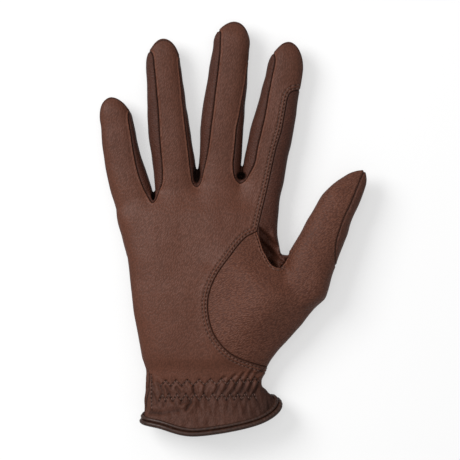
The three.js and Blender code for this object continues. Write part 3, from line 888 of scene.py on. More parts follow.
@dataclass(frozen=True)
class Route:
    """A line on the plan that points can be measured from."""

    line: Array

    def locate(self, plan: Array) -> tuple[Array, Array, Array]:
        """Measures plan points from the line.

        Args:
            plan: Plan points.

        Returns:
            The way along the line, the distance from it, and whether they lie on its left.
        """
        starts, ways = self.line[:-1], np.diff(self.line, axis=0)
        lengths = np.linalg.norm(ways, axis=1)
        before = np.concatenate([[0], np.cumsum(lengths)])
        best, along = np.full(len(plan), np.inf), np.zeros(len(plan))
        left = np.zeros(len(plan), bool)
        for start, way, length, done in zip(starts, ways, lengths, before):
            if not length:
                continue
            apart = plan - start
            share = np.clip(apart @ way / length**2, 0, 1)
            distance = np.linalg.norm(apart - share[:, None] * way, axis=1)
            closer = distance < best
            best = np.where(closer, distance, best)
            along = np.where(closer, done + share * length, along)
            left = np.where(closer, way[0] * apart[:, 1] - way[1] * apart[:, 0] > 0, left)
        return along, best, left

    def within(self, plan: Array) -> Array:
        """Distance inside the closed outline, negative outside.

        Args:
            plan: Plan points.

        Returns:
            The distances.
        """
        closed = Route(np.vstack([self.line, self.line[:1]]))
        _, distance, _ = closed.locate(plan)
        inside = np.zeros(len(plan), bool)
        for (ax, ay), (bx, by) in zip(closed.line[:-1], closed.line[1:]):
            if ay == by:
                continue
            passes = (ay > plan[:, 1]) != (by > plan[:, 1])
            inside ^= passes & (plan[:, 0] < ax + (plan[:, 1] - ay) * (bx - ax) / (by - ay))
        return np.where(inside, distance, -distance)

    def every(self, pitch: float, start: float = 0.0, over: float = 0.0) -> Array:
        """Plan points at an even pitch along the line.

        Args:
            pitch: Distance between two points.
            start: Where the first one lies.
            over: How far they lie to the line's left.

        Returns:
            The points.
        """
        ways = np.diff(self.line, axis=0)
        lengths = np.concatenate([[0], np.cumsum(np.linalg.norm(ways, axis=1))])
        at = np.arange(start, lengths[-1], pitch)
        points = np.stack([np.interp(at, lengths, self.line[:, k]) for k in (0, 1)], 1)
        i = np.clip(np.searchsorted(lengths, at, side="right") - 1, 0, len(ways) - 1)
        way = ways[i] / np.linalg.norm(ways[i], axis=1, keepdims=True)
        return points + over * np.stack([-way[:, 1], way[:, 0]], 1)


@dataclass(frozen=True)
class Pattern:
    """The panels' outlines on the plan, as the leather is cut and sewn."""

    smoothness: int = 6
    closed_in: float = 6.0
    tip_dip: float = 0.1
    tip_reach: float = 6.0
    wrist_climb: float = 4.5
    climb_across: tuple[float, float] = (16.0, 25.0)
    climb_along: tuple[float, float] = (3.0, 16.0)

    @staticmethod
    def plan(rows: Sequence[PlanPoint]) -> Array:
        """Plan points of a table, in millimetres."""
        return np.array([(row.across * PALM_WIDTH, row.up * PALM_LENGTH) for row in rows])

    def gusset(self) -> Route:
        """The seam round the thumb's gusset, from the index finger to the wrist."""
        return Route(spline(self.plan(GUSSET_SEAM), self.smoothness))

    def crotch(self) -> Route:
        """The gusset's rolled edge between thumb and index finger."""
        return Route(spline(self.plan(CROTCH_EDGE), self.smoothness))

    def index_seam(self) -> Route:
        """The topstitched seam along the index finger, from the crotch to the fingertip."""
        rows = np.vstack([self.plan(GUSSET_SEAM[:1]), INDEX.seam(INDEX.right_seam)])
        return Route(spline(rows, self.smoothness))

    def gap(self, left: Digit, right: Digit, crotch: Sequence[PlanPoint]) -> Route:
        """Outline between two fingers' seams.

        Args:
            left: The finger on the left.
            right: The finger on the right.
            crotch: How their seams meet, from left to right.

        Returns:
            The outline, closed across the open air.
        """
        rows = [left.seam(left.right_seam)[::-1], self.plan(crotch), right.seam(right.left_seam)]
        line = spline(np.vstack(rows), self.smoothness)
        inwards = min(left.width, right.width) / self.closed_in
        return Route(np.vstack([line[:1] + (inwards, 0), line, line[-1:] - (inwards, 0)]))

    def index_side(self) -> Route:
        """Outline of the panel along the index finger's thumb side."""
        seam = self.index_seam().line[::-1]
        end = seam[:1] + (INDEX.width / 2, 0)
        return Route(np.vstack([self.crotch().line, self.plan(THUMB_CLEFT), end, seam]))

    def thumb(self) -> Route:
        """Outline of the thumb with its gusset."""
        tip = THUMB.middle(np.array([1.0]))[0]
        left, right = tip[0] - THUMB_WIDTH, tip[0] + THUMB_WIDTH
        top, bottom = tip[1] + THUMB_WIDTH, GUSSET_SEAM[-1].up * PALM_LENGTH
        around = np.array([(right, bottom), (right, top), (left, top)])
        return Route(np.vstack([
            self.gusset().line, around, self.plan(THUMB_CLEFT)[::-1], self.crotch().line[::-1],
        ]))

    def thumb_shaft(self, points: Array) -> Array:
        """Distance past the line on which the thumb's own back begins."""
        centre = THUMB.middle(np.array([THUMB_BACK_START]))[0]
        return (points[:, :2] - centre) @ THUMB.ahead

    def thumb_strip(self, points: Array) -> Array:
        """Distance outside the seam along the thumb's outer side.

        Args:
            points: Points in the drafting frame.

        Returns:
            The distances, negative on the thumb's front.
        """
        seam = Route(spline(THUMB.seam(THUMB.right_seam), self.smoothness))
        _, distance, left = seam.locate(points[:, :2])
        return np.where(left, -distance, distance)

    @staticmethod
    def above(points: Array, height: float) -> Array:
        """Height over a seam that rises with the fingertips.

        Args:
            points: Points in the drafting frame.
            height: The seam's height at the palm.

        Returns:
            The heights, negative under the seam.
        """
        lift = TIP_LIFT / MIDDLE_LENGTH * np.maximum(points[:, 1] - KNUCKLE_LINE, 0)
        return points[:, 2] - height - lift

    def above_side(self, points: Array) -> Array:
        """Height over the palm's side seam, which climbs over the fingertips and beside the elastic.

        Args:
            points: Points in the drafting frame.

        Returns:
            The heights, negative under the seam.
        """
        height = self.above(points, SIDE_SEAM_HEIGHT)
        for digit in (LITTLE, RING, MIDDLE, INDEX):
            tip = digit.middle(np.array([1.0]))[0]
            height += self.tip_dip * bell(np.linalg.norm(points[:, :2] - tip, axis=1) / self.tip_reach)
        beside = ramp(-points[:, 0], *self.climb_across)
        return height - self.wrist_climb * beside * (1 - ramp(points[:, 1], *self.climb_along))


@dataclass(frozen=True)
class CuffEdge:
    """The cuff's open edge, which hangs lower over the palm than under the back."""

    centre: tuple[float, float] = (3.5, 11.0)
    reach: tuple[float, float] = (36.0, 11.0)
    smoothness: int = 12
    search: tuple[float, float] = (0.3, 2.0)
    halvings: int = 30

    def turn(self, points: Array) -> Array:
        """Angle of points round the cuff, from its thumb side over the palm."""
        across = (points[:, 0] - self.centre[0]) / self.reach[0]
        return np.arctan2((points[:, 2] - self.centre[1]) / self.reach[1], across)

    def height(self, turn: Array) -> Array:
        """How high the edge lies at angles round the cuff.

        Args:
            turn: The angles.

        Returns:
            The edge's place along the glove.
        """
        sizes = (CUFF_WIDTH, -CUFF_LENGTH, CUFF_HEIGHT)
        line = spline(np.array(CUFF_EDGE) * sizes, self.smoothness, closed=True)
        angles = self.turn(line)
        order = np.argsort(angles)
        return np.interp(turn, angles[order], line[order, 1], period=2 * math.pi)

    def above(self, points: Array) -> Array:
        """Distance of points above the edge."""
        return points[:, 1] - self.height(self.turn(points))

    def line(self, form: HandForm, count: int) -> Array:
        """Points of the edge on the form's surface.

        Args:
            form: The form that it lies on.
            count: How many points.

        Returns:
            The points, in order round the cuff.
        """
        turn = np.arange(count) / count * 2 * math.pi
        low, high = (np.full(count, share) for share in self.search)
        for _ in range(self.halvings):
            share = (low + high) / 2
            across = self.centre[0] + self.reach[0] * share * np.cos(turn)
            height = self.centre[1] + self.reach[1] * share * np.sin(turn)
            points = np.stack([across, self.height(turn), height], 1)
            outside = form.distance(points) > 0
            low, high = np.where(outside, low, share), np.where(outside, share, high)
        return points


@dataclass
class Cutting:
    """Cuts the surface into panels along the pattern."""

    skin: Skin
    sides: dict[str, Array] = field(default_factory=dict)

    def cut(self, name: str, values: Callable[[Array], Array], within: Array | None = None) -> Array:
        """Cuts along the zero line of a field.

        Args:
            name: What the cut is called.
            values: Gives the field at points.
            within: Which faces are cut, or None for all.

        Returns:
            Which faces lie on the field's positive side.
        """
        chosen = np.ones(len(self.skin.faces), bool) if within is None else within
        self.skin, parents, on = self.skin.cut(values(self.skin.points), chosen)
        self.sides = {key: side[parents] for key, side in self.sides.items()}
        self.sides[name] = on[self.skin.faces].sum(axis=1) > 0
        return self.sides[name]

    def panels(self, pattern: Pattern) -> Array:
        """Cuts out every panel.

        Args:
            pattern: The panels' outlines.

        Returns:
            For each face the place of its panel in PANELS.
        """
        gaps = {
            Panel.LITTLE_RING: pattern.gap(LITTLE, RING, LITTLE_RING_CROTCH),
            Panel.RING_MIDDLE: pattern.gap(RING, MIDDLE, RING_MIDDLE_CROTCH),
            Panel.MIDDLE_INDEX: pattern.gap(MIDDLE, INDEX, MIDDLE_INDEX_CROTCH),
            Panel.INDEX_SIDE: pattern.index_side(),
        }
        self.cut("thumb", lambda p: pattern.thumb().within(p[:, :2]))
        for panel, outline in gaps.items():
            self.cut(panel.value, lambda p, o=outline: o.within(p[:, :2]), ~self.sides["thumb"])
        between = np.any([self.sides[panel.value] for panel in gaps], axis=0) & ~self.sides["thumb"]
        self.cut("over back", lambda p: pattern.above(p, BACK_SEAM_HEIGHT), between)
        self.cut("shaft", pattern.thumb_shaft, self.sides["thumb"])
        self.cut(
            "thumb back",
            lambda p: np.maximum(pattern.thumb_strip(p), -pattern.above(p, SIDE_SEAM_HEIGHT)),
            self.sides["thumb"] & self.sides["shaft"],
        )
        between = np.any([self.sides[panel.value] for panel in gaps], axis=0) & ~self.sides["thumb"]
        rest = ~between & ~(self.sides["thumb"] & self.sides["shaft"])
        self.cut("upper", pattern.above_side, rest)
        side = self.sides
        labels = np.full(len(self.skin.faces), PANELS.index(Panel.BACK))
        between = np.any([side[panel.value] for panel in gaps], axis=0)
        labels[~side["thumb"] & ~between & side["upper"]] = PANELS.index(Panel.PALM)
        for panel in gaps:
            labels[~side["thumb"] & side[panel.value] & side["over back"]] = PANELS.index(panel)
        labels[side["thumb"] & ~side["shaft"] & side["upper"]] = PANELS.index(Panel.THUMB_FRONT)
        labels[side["thumb"] & side["shaft"] & ~side["thumb back"]] = PANELS.index(Panel.THUMB_FRONT)
        labels[side["thumb"] & side["shaft"] & side["thumb back"]] = PANELS.index(Panel.THUMB_BACK)
        return labels


def nearest(places: Array, points: Array, within: float) -> Array:
    """Distance of each point to the nearest of some places.

    Args:
        places: The places.
        points: The points.
        within: The largest distance that matters.

    Returns:
        The distances, none over within.
    """
    out = np.full(len(points), within)
    if not len(places):
        return out
    tree = KDTree(len(places))
    for i, place in enumerate(places):
        tree.insert(place, i)
    tree.balance()
    low, high = places.min(axis=0) - within, places.max(axis=0) + within
    for i in np.flatnonzero(((points > low) & (points < high)).all(axis=1)):
        out[i] = min(tree.find(points[i])[2], within)
    return out


@dataclass(frozen=True)
class Zigzag:
    """A row of zigzag stitches over the wrist's elastic, by the places of its upper corners."""

    peaks: tuple[float, ...]
    top: tuple[float, float]
    bottom: tuple[float, float]

    def corners(self) -> Array:
        """Plan points of the zigzag's corners, from left to right."""
        x = np.array(self.peaks)
        share = np.linspace(0, 1, len(x))
        upper = np.stack([x, np.interp(share, (0, 1), self.top)], 1)
        between = (upper[1:] + upper[:-1]) / 2
        between[:, 1] = np.interp((share[1:] + share[:-1]) / 2, (0, 1), self.bottom)
        corners = np.empty((2 * len(x) - 1, 2))
        corners[::2], corners[1::2] = upper, between
        across, up = corners[1] - corners[0]
        first, last = corners[0] + (-across, up), corners[-1] + (across, up)
        return np.vstack([[first], corners, [last]])


ZIGZAGS = (
    Zigzag(
        peaks=(-20.2, -14.7, -8.5, -2.3, 3.8, 9.7, 15.0, 19.7, 23.7, 27.2),
        top=(0.0, 1.7),
        bottom=(-2.9, -1.3),
    ),
    Zigzag(
        peaks=(-22.0, -18.5, -14.1, -9.4, -4.5, 0.2, 5.0, 10.0, 14.4, 18.5, 22.3, 26.6),
        top=(-7.2, -6.6),
        bottom=(-10.8, -9.7),
    ),
)


class Crease(NamedTuple):
    """A fold pressed into the leather: its ends on the plan, its depth and half its width, in millimetres."""

    x: float
    y: float
    to_x: float
    to_y: float
    depth: float
    wide: float


CREASES = table(
    Crease,
    (-24.9, -0.5, -21.2, -6.4, 0.7, 0.75), (-20.6, -2.7, -17.7, -7.5, 0.75, 0.7),
    (-14.8, -3.2, -12.1, -6.9, 0.7, 0.7), (-11.5, -2.0, -8.6, -4.4, 0.35, 0.6),
    (-5.4, -2.7, -4.9, -6.6, 0.85, 0.75), (1.3, -2.7, 0.0, -6.9, 0.6, 0.7),
    (8.5, -2.1, 6.3, -6.9, 0.9, 0.75), (14.1, -0.3, 10.6, -6.4, 0.8, 0.75),
    (18.6, -0.5, 15.1, -6.4, 0.75, 0.75), (22.9, 0.0, 19.7, -6.4, 0.75, 0.75),
    (26.9, 0.5, 23.9, -5.9, 0.75, 0.75), (29.6, -1.1, 27.4, -6.4, 0.8, 0.75),
    (11.8, 2.2, 9.9, 0.6, 0.45, 0.7), (17.4, 3.4, 15.3, 1.4, 0.55, 0.7),
    (21.9, 4.4, 19.9, 1.6, 0.6, 0.7), (26.4, 6.2, 23.9, 2.0, 0.7, 0.8),
    (-6.2, -10.7, -9.6, -16.0, 1.0, 0.9), (-7.6, -10.4, -12.6, -12.2, 0.5, 0.8),
    (-29.3, -16.6, -22.4, -17.2, 0.8, 1.2), (-22.4, -17.2, -12.0, -15.3, 0.55, 1.3),
    (-19.8, -10.6, -21.6, -14.0, 0.45, 0.8), (-15.2, -10.8, -14.4, -13.2, 0.4, 0.7),
    (-1.6, -10.6, -2.4, -14.0, 0.2, 0.7), (4.6, -10.4, 4.2, -18.5, 0.2, 0.8),
    (8.4, -10.2, 9.4, -14.0, 0.16, 0.7), (13.6, -10.0, 12.4, -17.0, 0.2, 0.8),
    (18.6, -9.8, 17.4, -14.5, 0.18, 0.7), (23.4, -9.6, 22.0, -17.5, 0.26, 0.9),
    (28.2, -9.0, 28.8, -14.0, 0.22, 0.9), (-28.6, 3.0, -26.2, -5.0, 0.5, 0.9),
    (-27.4, -5.5, -24.6, -12.5, 0.55, 0.9), (31.5, 5.5, 27.5, 3.2, 0.6, 0.9),
)


class Ridge(NamedTuple):
    """A ridge beside a line, or with a negative height a furrow: where it runs and half its width."""

    height: float
    at: float
    wide: float

    def beside(self, distance: Array) -> Array:
        """Heights at distances from the line."""
        return self.height * bell((distance - self.at) / self.wide)


@dataclass(frozen=True)
class Relief:
    """What sewing and gathering do to the smooth form, in millimetres along its normals."""

    rows: tuple[float, float] = (1.1, 2.75)
    closed: tuple[Ridge, ...] = (Ridge(-0.5, 0.0, 0.5), Ridge(0.15, 1.1, 0.5))
    turned_over: tuple[Ridge, ...] = (Ridge(-0.75, 0.0, 0.32), Ridge(0.34, 0.9, 0.42))
    turned_under: tuple[Ridge, ...] = (Ridge(-0.7, 0.0, 0.38),)
    lapped_over: tuple[Ridge, ...] = (
        Ridge(-0.6, 0.0, 0.26), Ridge(-0.2, 1.1, 0.4), Ridge(-0.2, 2.75, 0.4), Ridge(0.08, 1.925, 0.45),
    )
    lapped_under: tuple[Ridge, ...] = (Ridge(-0.5, 0.0, 0.42),)
    rim_over: tuple[Ridge, ...] = (Ridge(0.4, 0.4, 0.3), Ridge(-0.3, 0.95, 0.24), Ridge(0.35, 1.5, 0.3))
    rim_under: tuple[Ridge, ...] = (Ridge(-0.6, 0.0, 0.6),)
    lap: float = 0.35
    lap_span: tuple[float, float] = (3.0, 5.5)
    hole: Ridge = Ridge(-0.4, 0.0, 0.42)
    gathers: tuple[Ridge, ...] = (Ridge(-0.3, 0.0, 0.5), Ridge(-0.3, 0.0, 2.0))
    # Painted shade along the zigzags, then in the creases
    gather_shade: Ridge = Ridge(0.25, 0.0, 0.5)
    crease: tuple[Ridge, ...] = (Ridge(0.45, 2.3, 1.0), Ridge(-1.0, 0.0, 1.0))
    crease_shade: Ridge = Ridge(0.6, 0.0, 0.7)
    crease_ends: float = 0.12
    upper_side: tuple[float, float] = (SIDE_SEAM_HEIGHT - 2, SIDE_SEAM_HEIGHT + 3)
    thinnest: float = 0.2

    def seams(self, panel: Panel, near: dict[Seam, Array]) -> Array:
        """Grooves and rolled edges along the seams.

        Args:
            panel: The panel.
            near: Distance of each point to the nearest seam of each kind.

        Returns:
            Heights.
        """
        palm = panel is Panel.PALM
        ridges = {
            Seam.CLOSED: self.closed,
            Seam.TURNED: self.turned_over if palm else self.turned_under,
            Seam.LAPPED: self.lapped_over if palm else self.lapped_under,
            Seam.ROLLED: self.rim_over if panel is Panel.THUMB_FRONT else self.rim_under,
        }
        height = sum(ridge.beside(near[kind]) for kind, several in ridges.items() for ridge in several)
        if palm:
            height += self.lap * (1 - ramp(near[Seam.LAPPED], *self.lap_span))
        return height

    def creases(self, points: Array) -> tuple[Array, Array]:
        """Folds round the wrist's elastic and in the loose cuff.

        Args:
            points: Points in the drafting frame.

        Returns:
            Heights, and how much painted shade darkens each point in the folds, from 0 to 1.
        """
        plan = points[:, :2]
        height, dark = np.zeros(len(points)), np.zeros(len(points))
        upwards = ramp(points[:, 2], *self.upper_side)
        for zigzag in ZIGZAGS:
            _, distance, _ = Route(zigzag.corners()).locate(plan)
            height += sum(ridge.beside(distance) for ridge in self.gathers)
            dark += self.gather_shade.beside(distance)
        fade = self.crease_ends
        for crease in CREASES:
            start, way = np.array(crease[:2]), np.subtract(crease[2:4], crease[:2])
            share = (plan - start) @ way / (way @ way)
            strength = crease.depth * ramp(share, -fade, fade) * (1 - ramp(share, 1 - fade, 1 + fade))
            beside = plan - start - np.clip(share, 0, 1)[:, None] * way
            distance = np.linalg.norm(beside, axis=1) / crease.wide
            height += strength * sum(ridge.beside(distance) for ridge in self.crease)
            dark += strength * self.crease_shade.beside(distance)
        return height * upwards, np.clip(dark * upwards, 0, 1)


@dataclass(frozen=True)
class WavesAndPaintedLight:
    """How the empty leather waves, and where shade and highlights are painted into its colour."""

    long_waves: Waves = Waves(11, 34, 15)
    long_height: float = 0.2
    short_waves: Waves = Waves(12, 11, 6)
    short_height: float = 0.06
    off_floor: tuple[float, float] = (0.4, 3.0)
    slack_waves: Waves = Waves(13, 8, 3.6)
    slack_height: float = 0.33
    slack_stretch: tuple[float, float, float] = (1.6, 0.7, 1.0)
    slack_edge: tuple[float, float] = (-5.0, 0.0)
    upper_side: tuple[float, float] = (6.0, 12.0)
    # Painted shade on the loose cuff, on the fingers and in the crotches' pits
    cuff_edge: tuple[float, float] = (-7.0, 3.0)
    cuff_shade: tuple[float, float, float] = (0.42, 0.38, 0.24)
    cuff_middle: tuple[float, float] = (5.0, 32.0)
    cuff_side: tuple[float, float] = (28.0, 36.0)
    finger_shade: float = 0.15
    finger_span: tuple[float, float] = (96.0, 122.0)
    pit_shade: float = 0.9
    pit_wide: float = 1.15
    pit_top: tuple[float, float] = (9.0, 15.0)
    # Painted shade in the seams and needle holes, and painted highlights along the rolled edges
    seam_shade: Ridge = Ridge(0.9, 0.0, 0.36)
    hole_shade: Ridge = Ridge(0.9, 0.0, 0.42)
    fold_painted_highlight: Ridge = Ridge(1.0, 1.0, 0.45)
    row_painted_highlight: Ridge = Ridge(0.3, 1.925, 0.5)
    rim_painted_highlight: tuple[Ridge, ...] = (Ridge(1.5, 0.4, 0.28), Ridge(1.5, 1.5, 0.28))

    def waves(self, points: Array) -> Array:
        """Heights of the waves that leather throws when no hand fills it.

        Args:
            points: Points in the drafting frame.

        Returns:
            The heights.
        """
        soft = self.long_height * self.long_waves.at(points) + self.short_height * self.short_waves.at(points)
        slack = (1 - ramp(points[:, 1], *self.slack_edge)) * ramp(points[:, 2], *self.upper_side)
        puckers = self.slack_height * slack * self.slack_waves.at(points * self.slack_stretch)
        return soft * ramp(points[:, 2], *self.off_floor) + puckers

    def shade(self, points: Array, pits: Sequence[Pit]) -> Array:
        """How much painted shade darkens the loose cuff, the fingers' ends and the crotches.

        Args:
            points: Points in the drafting frame.
            pits: The hollows in the fingers' crotches.

        Returns:
            Nothing as 0, more in the shade.
        """
        x, y, z = points.T
        base, middle, side = self.cuff_shade
        dark = (1 - ramp(y, *self.cuff_edge)) * ramp(z, *self.upper_side)
        dark *= base + middle * ramp(x, *self.cuff_middle) + side * ramp(x, *self.cuff_side)
        dark += self.finger_shade * ramp(y, *self.finger_span)
        for pit in pits:
            apart = np.linalg.norm((points[:, :2] - pit.middle[:2]) / pit.reach[:2], axis=1)
            dark += self.pit_shade * bell((apart / self.pit_wide) ** 2) * (1 - ramp(z, *self.pit_top))
        return dark

    def rolled(self, panel: Panel, near: dict[Seam, Array]) -> Array:
        """How much painted highlight lightens points on a rolled edge.

        Args:
            panel: The panel that they lie on.
            near: Distance of each point to the nearest seam of each kind.

        Returns:
            0 off the edges, more on them.
        """
        if panel is Panel.PALM:
            return self.fold_painted_highlight.beside(near[Seam.TURNED]) + self.row_painted_highlight.beside(near[Seam.LAPPED])
        if panel is Panel.THUMB_FRONT:
            return sum(ridge.beside(near[Seam.ROLLED]) for ridge in self.rim_painted_highlight)
        return np.zeros(len(near[Seam.ROLLED]))


def to_linear(colour: str) -> tuple[float, float, float, float]:
    """Turns an sRGB hex colour to linear light.

    Args:
        colour: Six hex digits after a hash sign.

    Returns:
        Red, green, blue and a full alpha.
    """
    parts = [int(colour[i : i + 2], 16) / 255 for i in (1, 3, 5)]
    light = [c / 12.92 if c <= 0.04045 else ((c + 0.055) / 1.055) ** 2.4 for c in parts]
    return (*light, 1.0)


def add_node(
    tree: bpy.types.NodeTree, kind: str, settings: dict | None = None, inputs: dict | None = None
) -> bpy.types.Node:
    """Adds a node with its settings and links.

    Args:
        tree: The material's nodes.
        kind: The node's type.
        settings: Its properties by name.
        inputs: Its sockets by name or number, each given a value or the socket that feeds it.

    Returns:
        The node.
    """
    made = tree.nodes.new(kind)
    for name, value in (settings or {}).items():
        setattr(made, name, value)
    for name, value in (inputs or {}).items():
        socket = made.inputs[name]
        if isinstance(value, bpy.types.NodeSocket):
            tree.links.new(value, socket)
        else:
            socket.default_value = value
    return made


@dataclass(frozen=True)
class Finish:
    """A finish of the glove, with what every one of them starts from."""

    name: str

    def start(self) -> tuple[bpy.types.Material, bpy.types.NodeTree, bpy.types.Node, bpy.types.NodeSocket]:
        """Makes the bare material.

        Returns:
            The material, its nodes, its shader and the place of each point on its piece.
        """
        material = bpy.data.materials.new(self.name)
        material.use_nodes = True
        tree = material.node_tree
        place = add_node(tree, "ShaderNodeTexCoord").outputs["Object"]
        return material, tree, tree.nodes["Principled BSDF"], place


@dataclass(frozen=True)
class Leather(Finish):
    """Polyurethane-coated synthetic leather with an embossed grain, moulded on its face.

    The eye sees a semi-matt brown with small slanting pebbles, darker in their furrows and softly mottled over
    centimetres. Painted shade darkens it in the seams, holes, folds, loose cuff, fingers and crotches, and a
    painted highlight lightens it where an edge is rolled up.
    """

    furrow: str
    base: str
    raised: str
    grain_turn: float = 25.0
    roughness: float = 0.44
    grain_width: float = 0.62
    grain_length: float = 1.5
    grain_height: float = 0.25
    grain_wander: float = 1.6
    wander_pitch: float = 9.0
    mottle: float = 16.0
    mottle_strength: float = 0.05
    painted_shade_strength: float = 0.72
    groove_dull: float = 0.3
    rolled_painted_highlight: float = 0.3
    polish: float = 0.07
    pores: float = 0.12
    shine: float = 0.27

    def make(self) -> bpy.types.Material:
        """Makes the material.

        Returns:
            The material.
        """
        material, tree, shader, place = self.start()
        wander = add_node(
            tree, "ShaderNodeTexNoise",
            inputs={"Vector": place, "Scale": 1 / (self.wander_pitch * MM), "Detail": 2.0},
        )
        shifted = add_node(
            tree, "ShaderNodeVectorMath", {"operation": "MULTIPLY_ADD"},
            {0: wander.outputs["Color"], 1: (self.grain_wander * MM,) * 3, 2: place},
        )
        turned = add_node(
            tree, "ShaderNodeMapping", {"vector_type": "TEXTURE"},
            {
                "Vector": shifted.outputs[0],
                "Rotation": (0, 0, math.radians(-self.grain_turn)),
                "Scale": (self.grain_width * MM, self.grain_length * MM, self.grain_width * MM),
            },
        )
        pebbles = add_node(
            tree, "ShaderNodeTexVoronoi", {"feature": "SMOOTH_F1"},
            {"Vector": turned.outputs[0], "Scale": 1.0, "Smoothness": 0.55, "Randomness": 0.9},
        )
        fine = add_node(
            tree, "ShaderNodeTexNoise",
            inputs={"Vector": turned.outputs[0], "Scale": 2.2, "Detail": 3.0, "Roughness": 0.6},
        )
        grain = add_node(
            tree, "ShaderNodeMath", {"operation": "MULTIPLY_ADD"},
            {0: fine.outputs["Fac"], 1: 0.5, 2: pebbles.outputs["Distance"]},
        )
        raised = add_node(
            tree, "ShaderNodeMapRange",
            inputs={
                "Value": grain.outputs[0], "From Min": 0.95, "From Max": 0.3, "To Min": 0.0, "To Max": 1.0,
            },
        )
        ramp_node = add_node(tree, "ShaderNodeValToRGB", inputs={"Fac": raised.outputs[0]})
        stops = ramp_node.color_ramp
        stops.elements[0].color = to_linear(self.furrow)
        stops.elements[1].color = to_linear(self.raised)
        stops.elements.new(0.5).color = to_linear(self.base)
        cloudy = add_node(
            tree, "ShaderNodeTexNoise",
            inputs={"Vector": place, "Scale": 1 / (self.mottle * MM), "Detail": 3.0, "Roughness": 0.55},
        )
        cloud = add_node(
            tree, "ShaderNodeMapRange",
            inputs={
                "Value": cloudy.outputs["Fac"], "From Min": 0.3, "From Max": 0.7,
                "To Min": 1 - self.mottle_strength, "To Max": 1 + self.mottle_strength,
            },
        )
        # Painted shade and painted highlight: the colour is darkened where shade falls and lightened on rolled
        # edges
        painted_shade = add_node(tree, "ShaderNodeAttribute", {"attribute_name": "painted_shade"})
        rolled = add_node(tree, "ShaderNodeAttribute", {"attribute_name": "rolled"})
        shade = add_node(
            tree, "ShaderNodeMath", {"operation": "MULTIPLY_ADD"},
            {0: painted_shade.outputs["Fac"], 1: -self.painted_shade_strength, 2: cloud.outputs[0]},
        )
        painted_light_and_mottle = add_node(
            tree, "ShaderNodeMath", {"operation": "MULTIPLY_ADD"},
            {0: rolled.outputs["Fac"], 1: self.rolled_painted_highlight, 2: shade.outputs[0]},
        )
        colour = add_node(
            tree, "ShaderNodeVectorMath", {"operation": "SCALE"},
            {0: ramp_node.outputs["Color"], "Scale": painted_light_and_mottle.outputs[0]},
        )
        tree.links.new(colour.outputs[0], shader.inputs["Base Color"])
        rough = add_node(
            tree, "ShaderNodeMapRange",
            inputs={
                "Value": grain.outputs[0], "From Min": 0.2, "From Max": 1.0,
                "To Min": self.roughness - self.polish, "To Max": self.roughness + self.pores,
            },
        )
        dull = add_node(
            tree, "ShaderNodeMath", {"operation": "MULTIPLY_ADD"},
            {0: painted_shade.outputs["Fac"], 1: self.groove_dull, 2: rough.outputs[0]},
        )
        tree.links.new(dull.outputs[0], shader.inputs["Roughness"])
        bump = add_node(
            tree, "ShaderNodeBump",
            inputs={"Height": raised.outputs[0], "Distance": self.grain_height * MM, "Strength": 1.0},
        )
        tree.links.new(bump.outputs[0], shader.inputs["Normal"])
        # The fine pores scatter half of the coating's shine away
        shader.inputs["Specular IOR Level"].default_value = self.shine
        shader.inputs["IOR"].default_value = 1.48
        return material


@dataclass(frozen=True)
class Backing(Finish):
    """The knitted backing inside the synthetic leather: a matt, slightly fuzzy brown."""

    name: str = "knitted_backing"
    deep: str = "#2c1d18"
    high: str = "#4a352c"
    loop: float = 0.9
    loop_height: float = 0.15

    def make(self) -> bpy.types.Material:
        """Makes the material.

        Returns:
            The material.
        """
        material, tree, shader, place = self.start()
        loops = add_node(
            tree, "ShaderNodeTexVoronoi",
            inputs={"Vector": place, "Scale": 1 / (self.loop * MM), "Randomness": 0.4},
        )
        ramp_node = add_node(tree, "ShaderNodeValToRGB", inputs={"Fac": loops.outputs["Distance"]})
        ramp_node.color_ramp.elements[0].color = to_linear(self.high)
        ramp_node.color_ramp.elements[1].color = to_linear(self.deep)
        tree.links.new(ramp_node.outputs["Color"], shader.inputs["Base Color"])
        bump = add_node(
            tree, "ShaderNodeBump",
            inputs={"Height": loops.outputs["Distance"], "Distance": self.loop_height * MM, "Strength": 0.8},
        )
        tree.links.new(bump.outputs[0], shader.inputs["Normal"])
        shader.inputs["Roughness"].default_value = 0.9
        shader.inputs["Sheen Weight"].default_value = 0.25
        return material


@dataclass(frozen=True)
class Piping(Finish):
    """Smooth coated piping: dark brown with a soft shine and faint creases across its rolls."""

    name: str = "smooth_piping"
    deep: str = "#29170f"
    base: str = "#43291f"
    roughness: float = 0.36
    crease_pitch: float = 1.4
    crease_depth: float = 0.1
    crease_dull: float = 0.08

    def make(self) -> bpy.types.Material:
        """Makes the material.

        Returns:
            The material.
        """
        material, tree, shader, place = self.start()
        creases = add_node(
            tree, "ShaderNodeTexNoise",
            inputs={"Vector": place, "Scale": 1 / (self.crease_pitch * MM), "Detail": 4.0},
        )
        ramp_node = add_node(tree, "ShaderNodeValToRGB", inputs={"Fac": creases.outputs["Fac"]})
        for stop, position, colour in zip(ramp_node.color_ramp.elements, (0.3, 0.7), (self.deep, self.base)):
            stop.position = position
            stop.color = to_linear(colour)
        tree.links.new(ramp_node.outputs["Color"], shader.inputs["Base Color"])
        rough = add_node(
            tree, "ShaderNodeMapRange",
            inputs={
                "Value": creases.outputs["Fac"], "From Min": 0.3, "From Max": 0.7,
                "To Min": self.roughness + self.crease_dull, "To Max": self.roughness,
            },
        )
        tree.links.new(rough.outputs[0], shader.inputs["Roughness"])
        bump = add_node(
            tree, "ShaderNodeBump",
            inputs={"Height": creases.outputs["Fac"], "Distance": self.crease_depth * MM, "Strength": 0.6},
        )
        tree.links.new(bump.outputs[0], shader.inputs["Normal"])
        shader.inputs["Specular IOR Level"].default_value = 0.35
        shader.inputs["IOR"].default_value = 1.5
        return material


